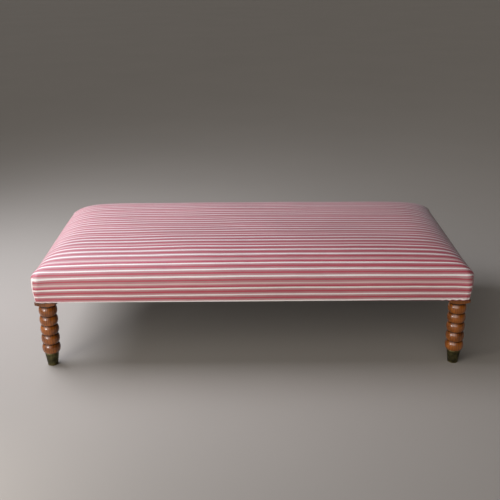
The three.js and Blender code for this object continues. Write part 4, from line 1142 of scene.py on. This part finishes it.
class FOOTSTOOL_OT_toe_caps(bpy.types.Operator):
    """Spins the brass toe caps with their rolled rims, and finishes their pins"""

    bl_idname = "footstool.toe_caps"
    bl_label = "Brass toe caps"

    def execute(self, context):
        finish = aged_brass_finish(context.scene.footstool_wood)
        radii, heights, wear = cap_profile()
        radii = np.repeat(radii[:, None], TURN_SIDES, 1)
        held = ("wear", np.append(np.repeat(wear, TURN_SIDES), [0, 0]))
        for corner, (sign_x, sign_y) in CORNERS.items():
            points, faces = turned(radii, heights, sign_x * LEG_X, sign_y * LEG_Y)
            name, node = f"brass_cap_{corner}", f"toe_cap_{corner}"
            new_piece(name, points, faces, finish, "brass", node, sharp=45, attribute=held)
            dress(f"toe_pin_{corner}", finish)
        return {"FINISHED"}


def dress(node, finish):
    """Gives a finish to a piece of the frame that stays as it is."""
    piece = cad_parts[node]
    if piece.material_slots:
        piece.material_slots[0].material = finish
    else:
        piece.data.materials.append(finish)


class FOOTSTOOL_OT_frame(bpy.types.Operator):
    """Finishes the beech rails, cross rails and braces, and their screws"""

    bl_idname = "footstool.frame"
    bl_label = "Frame"

    def execute(self, context):
        beech = beech_finish()
        steel = steel_finish("plain_steel_screws", "#a9abad", "#77797b", 0.35)
        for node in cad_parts:
            if node.startswith("brace_screw_"):
                dress(node, steel)
            elif node.startswith(("rail_", "cross_rail_", "brace_")):
                dress(node, beech)
        return {"FINISHED"}


# The stage


FLOOR_REACH = 40
BACK_GLOW = (-0.43, 0.87, 0.24)  # direction of the glow behind
FRONT_GLOW = (-0.56, -0.81, 0.16)  # direction of the glow in front

# The camera, with its angles in radians and its focal length in pixels of a picture 500 wide
CAMERA_PLACE = (-0.00555, -2.378, 1.1042)
PITCH, YAW, ROLL = 0.3494, -0.0002, 0.007
FOCAL, PICTURE_SIDE, SENSOR = 821.67, 500, 36.0


class FOOTSTOOL_OT_stage(bpy.types.Operator):
    """Sets up the pale floor, the window light from the left and the camera"""

    bl_idname = "footstool.stage"
    bl_label = "Studio"

    def execute(self, context):
        scene, settings = context.scene, context.scene.footstool_stage
        steps = np.linspace(-FLOOR_REACH, FLOOR_REACH, 17)
        x, y = np.meshgrid(steps, steps)
        points = np.stack([x, y, 0 * x], -1)
        mesh = bpy.data.meshes.new("studio_floor")
        mesh.from_pydata(points.reshape(-1, 3), [], grid_faces(numbered(points)).tolist())
        mesh.materials.append(studio_floor_finish(settings))
        floor = bpy.data.objects.new("studio_floor", mesh)
        scene.collection.objects.link(floor)

        scene.world = room_light(settings)
        scene.view_settings.view_transform = "Standard"

        # A large soft window on the left, and a smaller one at the front left that lights the beads.
        wide, small = settings.window_power, settings.highlight_power
        for name, place, aim, size, power, tint in (
            ("side_window", (-1.17, 0.15, 1.4), (0, 0, 0.25), (1.3, 1.2), wide, "#ecf1ff"),
            ("front_window", (-1.07, -1.12, 0.3), (0, -1, 0.27), (0.36, 0.31), small, "#ffffff"),
        ):
            lamp = bpy.data.lights.new(name, "AREA")
            lamp.shape = "RECTANGLE"
            lamp.size, lamp.size_y = size
            lamp.energy = power
            lamp.color = linear(tint)[:3]
            window = bpy.data.objects.new(name, lamp)
            window.visible_camera = False
            turn = (Vector(place) - Vector(aim)).to_track_quat("Z", "Y").to_matrix()
            window.matrix_world = Matrix.Translation(place) @ turn.to_4x4()
            scene.collection.objects.link(window)

        scene.camera = photo_camera()
        scene.collection.objects.link(scene.camera)
        return {"FINISHED"}


def room_light(settings):
    """The room's own light: an even fill and two soft glows, one behind on the left and one in front. A glow
    has no edge: its strength is s max(0, d . t)^n, d being the direction and t the one towards the glow."""
    world = bpy.data.worlds.new("soft_room")
    world.use_nodes = True
    tree = world.node_tree
    add = functools.partial(add_node, tree)
    total = tree.nodes["Background"]
    fill_sockets(total, {"Color": linear("#e6eaf2"), "Strength": settings.fill})
    direction = add("TexCoord").outputs["Generated"]
    for towards, narrowness, strength, tint in (
        (BACK_GLOW, 16.0, settings.back_glow, "#e8f0ff"),
        (FRONT_GLOW, 5.0, settings.front_glow, "#fffcfa"),
    ):
        facing = add("VectorMath", [direction, towards], operation="DOT_PRODUCT").outputs["Value"]
        facing = add("Math", [facing, 0.0], operation="MAXIMUM")
        lobe = add("Math", [facing, narrowness], operation="POWER")
        lobe = add("Math", [lobe, strength], operation="MULTIPLY")
        glow = add("Background", {"Color": linear(tint), "Strength": lobe})
        total = add("AddShader", [total, glow])
    fill_sockets(tree.nodes["World Output"], {"Surface": total})
    return world


def photo_camera():
    """The camera at the photograph's own viewing angle: pitched down by 20 degrees and rolled by less than
    half a degree, 2.4 m in front of the stool and 1.1 m up."""
    level = np.array([math.cos(YAW), -math.sin(YAW), 0])
    ahead = np.array([math.sin(YAW), math.cos(YAW), 0])
    up = np.array([0, 0, 1])
    forward = ahead * math.cos(PITCH) - up * math.sin(PITCH)
    down = -up * math.cos(PITCH) - ahead * math.sin(PITCH)
    right = level * math.cos(ROLL) + down * math.sin(ROLL)
    lower = -level * math.sin(ROLL) + down * math.cos(ROLL)
    turn = Matrix(np.stack([right, -lower, -forward], 1).tolist())
    data = bpy.data.cameras.new("photo_camera")
    data.sensor_width = SENSOR
    data.lens = FOCAL * SENSOR / PICTURE_SIDE
    camera = bpy.data.objects.new("photo_camera", data)
    camera.matrix_world = Matrix.Translation(CAMERA_PLACE) @ turn.to_4x4()
    return camera


OPERATORS = (
    FOOTSTOOL_OT_stage,
    FOOTSTOOL_OT_frame,
    FOOTSTOOL_OT_webbing,
    FOOTSTOOL_OT_hessian,
    FOOTSTOOL_OT_stuffing,
    FOOTSTOOL_OT_linings,
    FOOTSTOOL_OT_cover,
    FOOTSTOOL_OT_bottoming,
    FOOTSTOOL_OT_legs,
    FOOTSTOOL_OT_toe_caps,
)
SETTINGS = {
    "footstool_cover": FootstoolCoverSettings,
    "footstool_wood": FootstoolWoodSettings,
    "footstool_stage": FootstoolStageSettings,
}


class FOOTSTOOL_PT_panel(bpy.types.Panel):
    """Lists the settings and the pieces of the footstool"""

    bl_idname = "FOOTSTOOL_PT_panel"
    bl_label = "Upholstered footstool"
    bl_space_type = "VIEW_3D"
    bl_region_type = "UI"
    bl_category = "Footstool"

    def draw(self, context):
        for name, group in SETTINGS.items():
            box = self.layout.box()
            for setting in group.__annotations__:
                box.prop(getattr(context.scene, name), setting)
        for operator in OPERATORS:
            self.layout.operator(operator.bl_idname)


def register():
    for group in SETTINGS.values():
        bpy.utils.register_class(group)
    for name, group in SETTINGS.items():
        setattr(bpy.types.Scene, name, bpy.props.PointerProperty(type=group))
    for operator in OPERATORS:
        bpy.utils.register_class(operator)
    bpy.utils.register_class(FOOTSTOOL_PT_panel)


def unregister():
    bpy.utils.unregister_class(FOOTSTOOL_PT_panel)
    for operator in reversed(OPERATORS):
        bpy.utils.unregister_class(operator)
    for name, group in SETTINGS.items():
        delattr(bpy.types.Scene, name)
        bpy.utils.unregister_class(group)


def main():
    register()
    for operator in OPERATORS:
        module, name = operator.bl_idname.split(".")
        getattr(getattr(bpy.ops, module), name)()


if __name__ == "__main__":
    main()
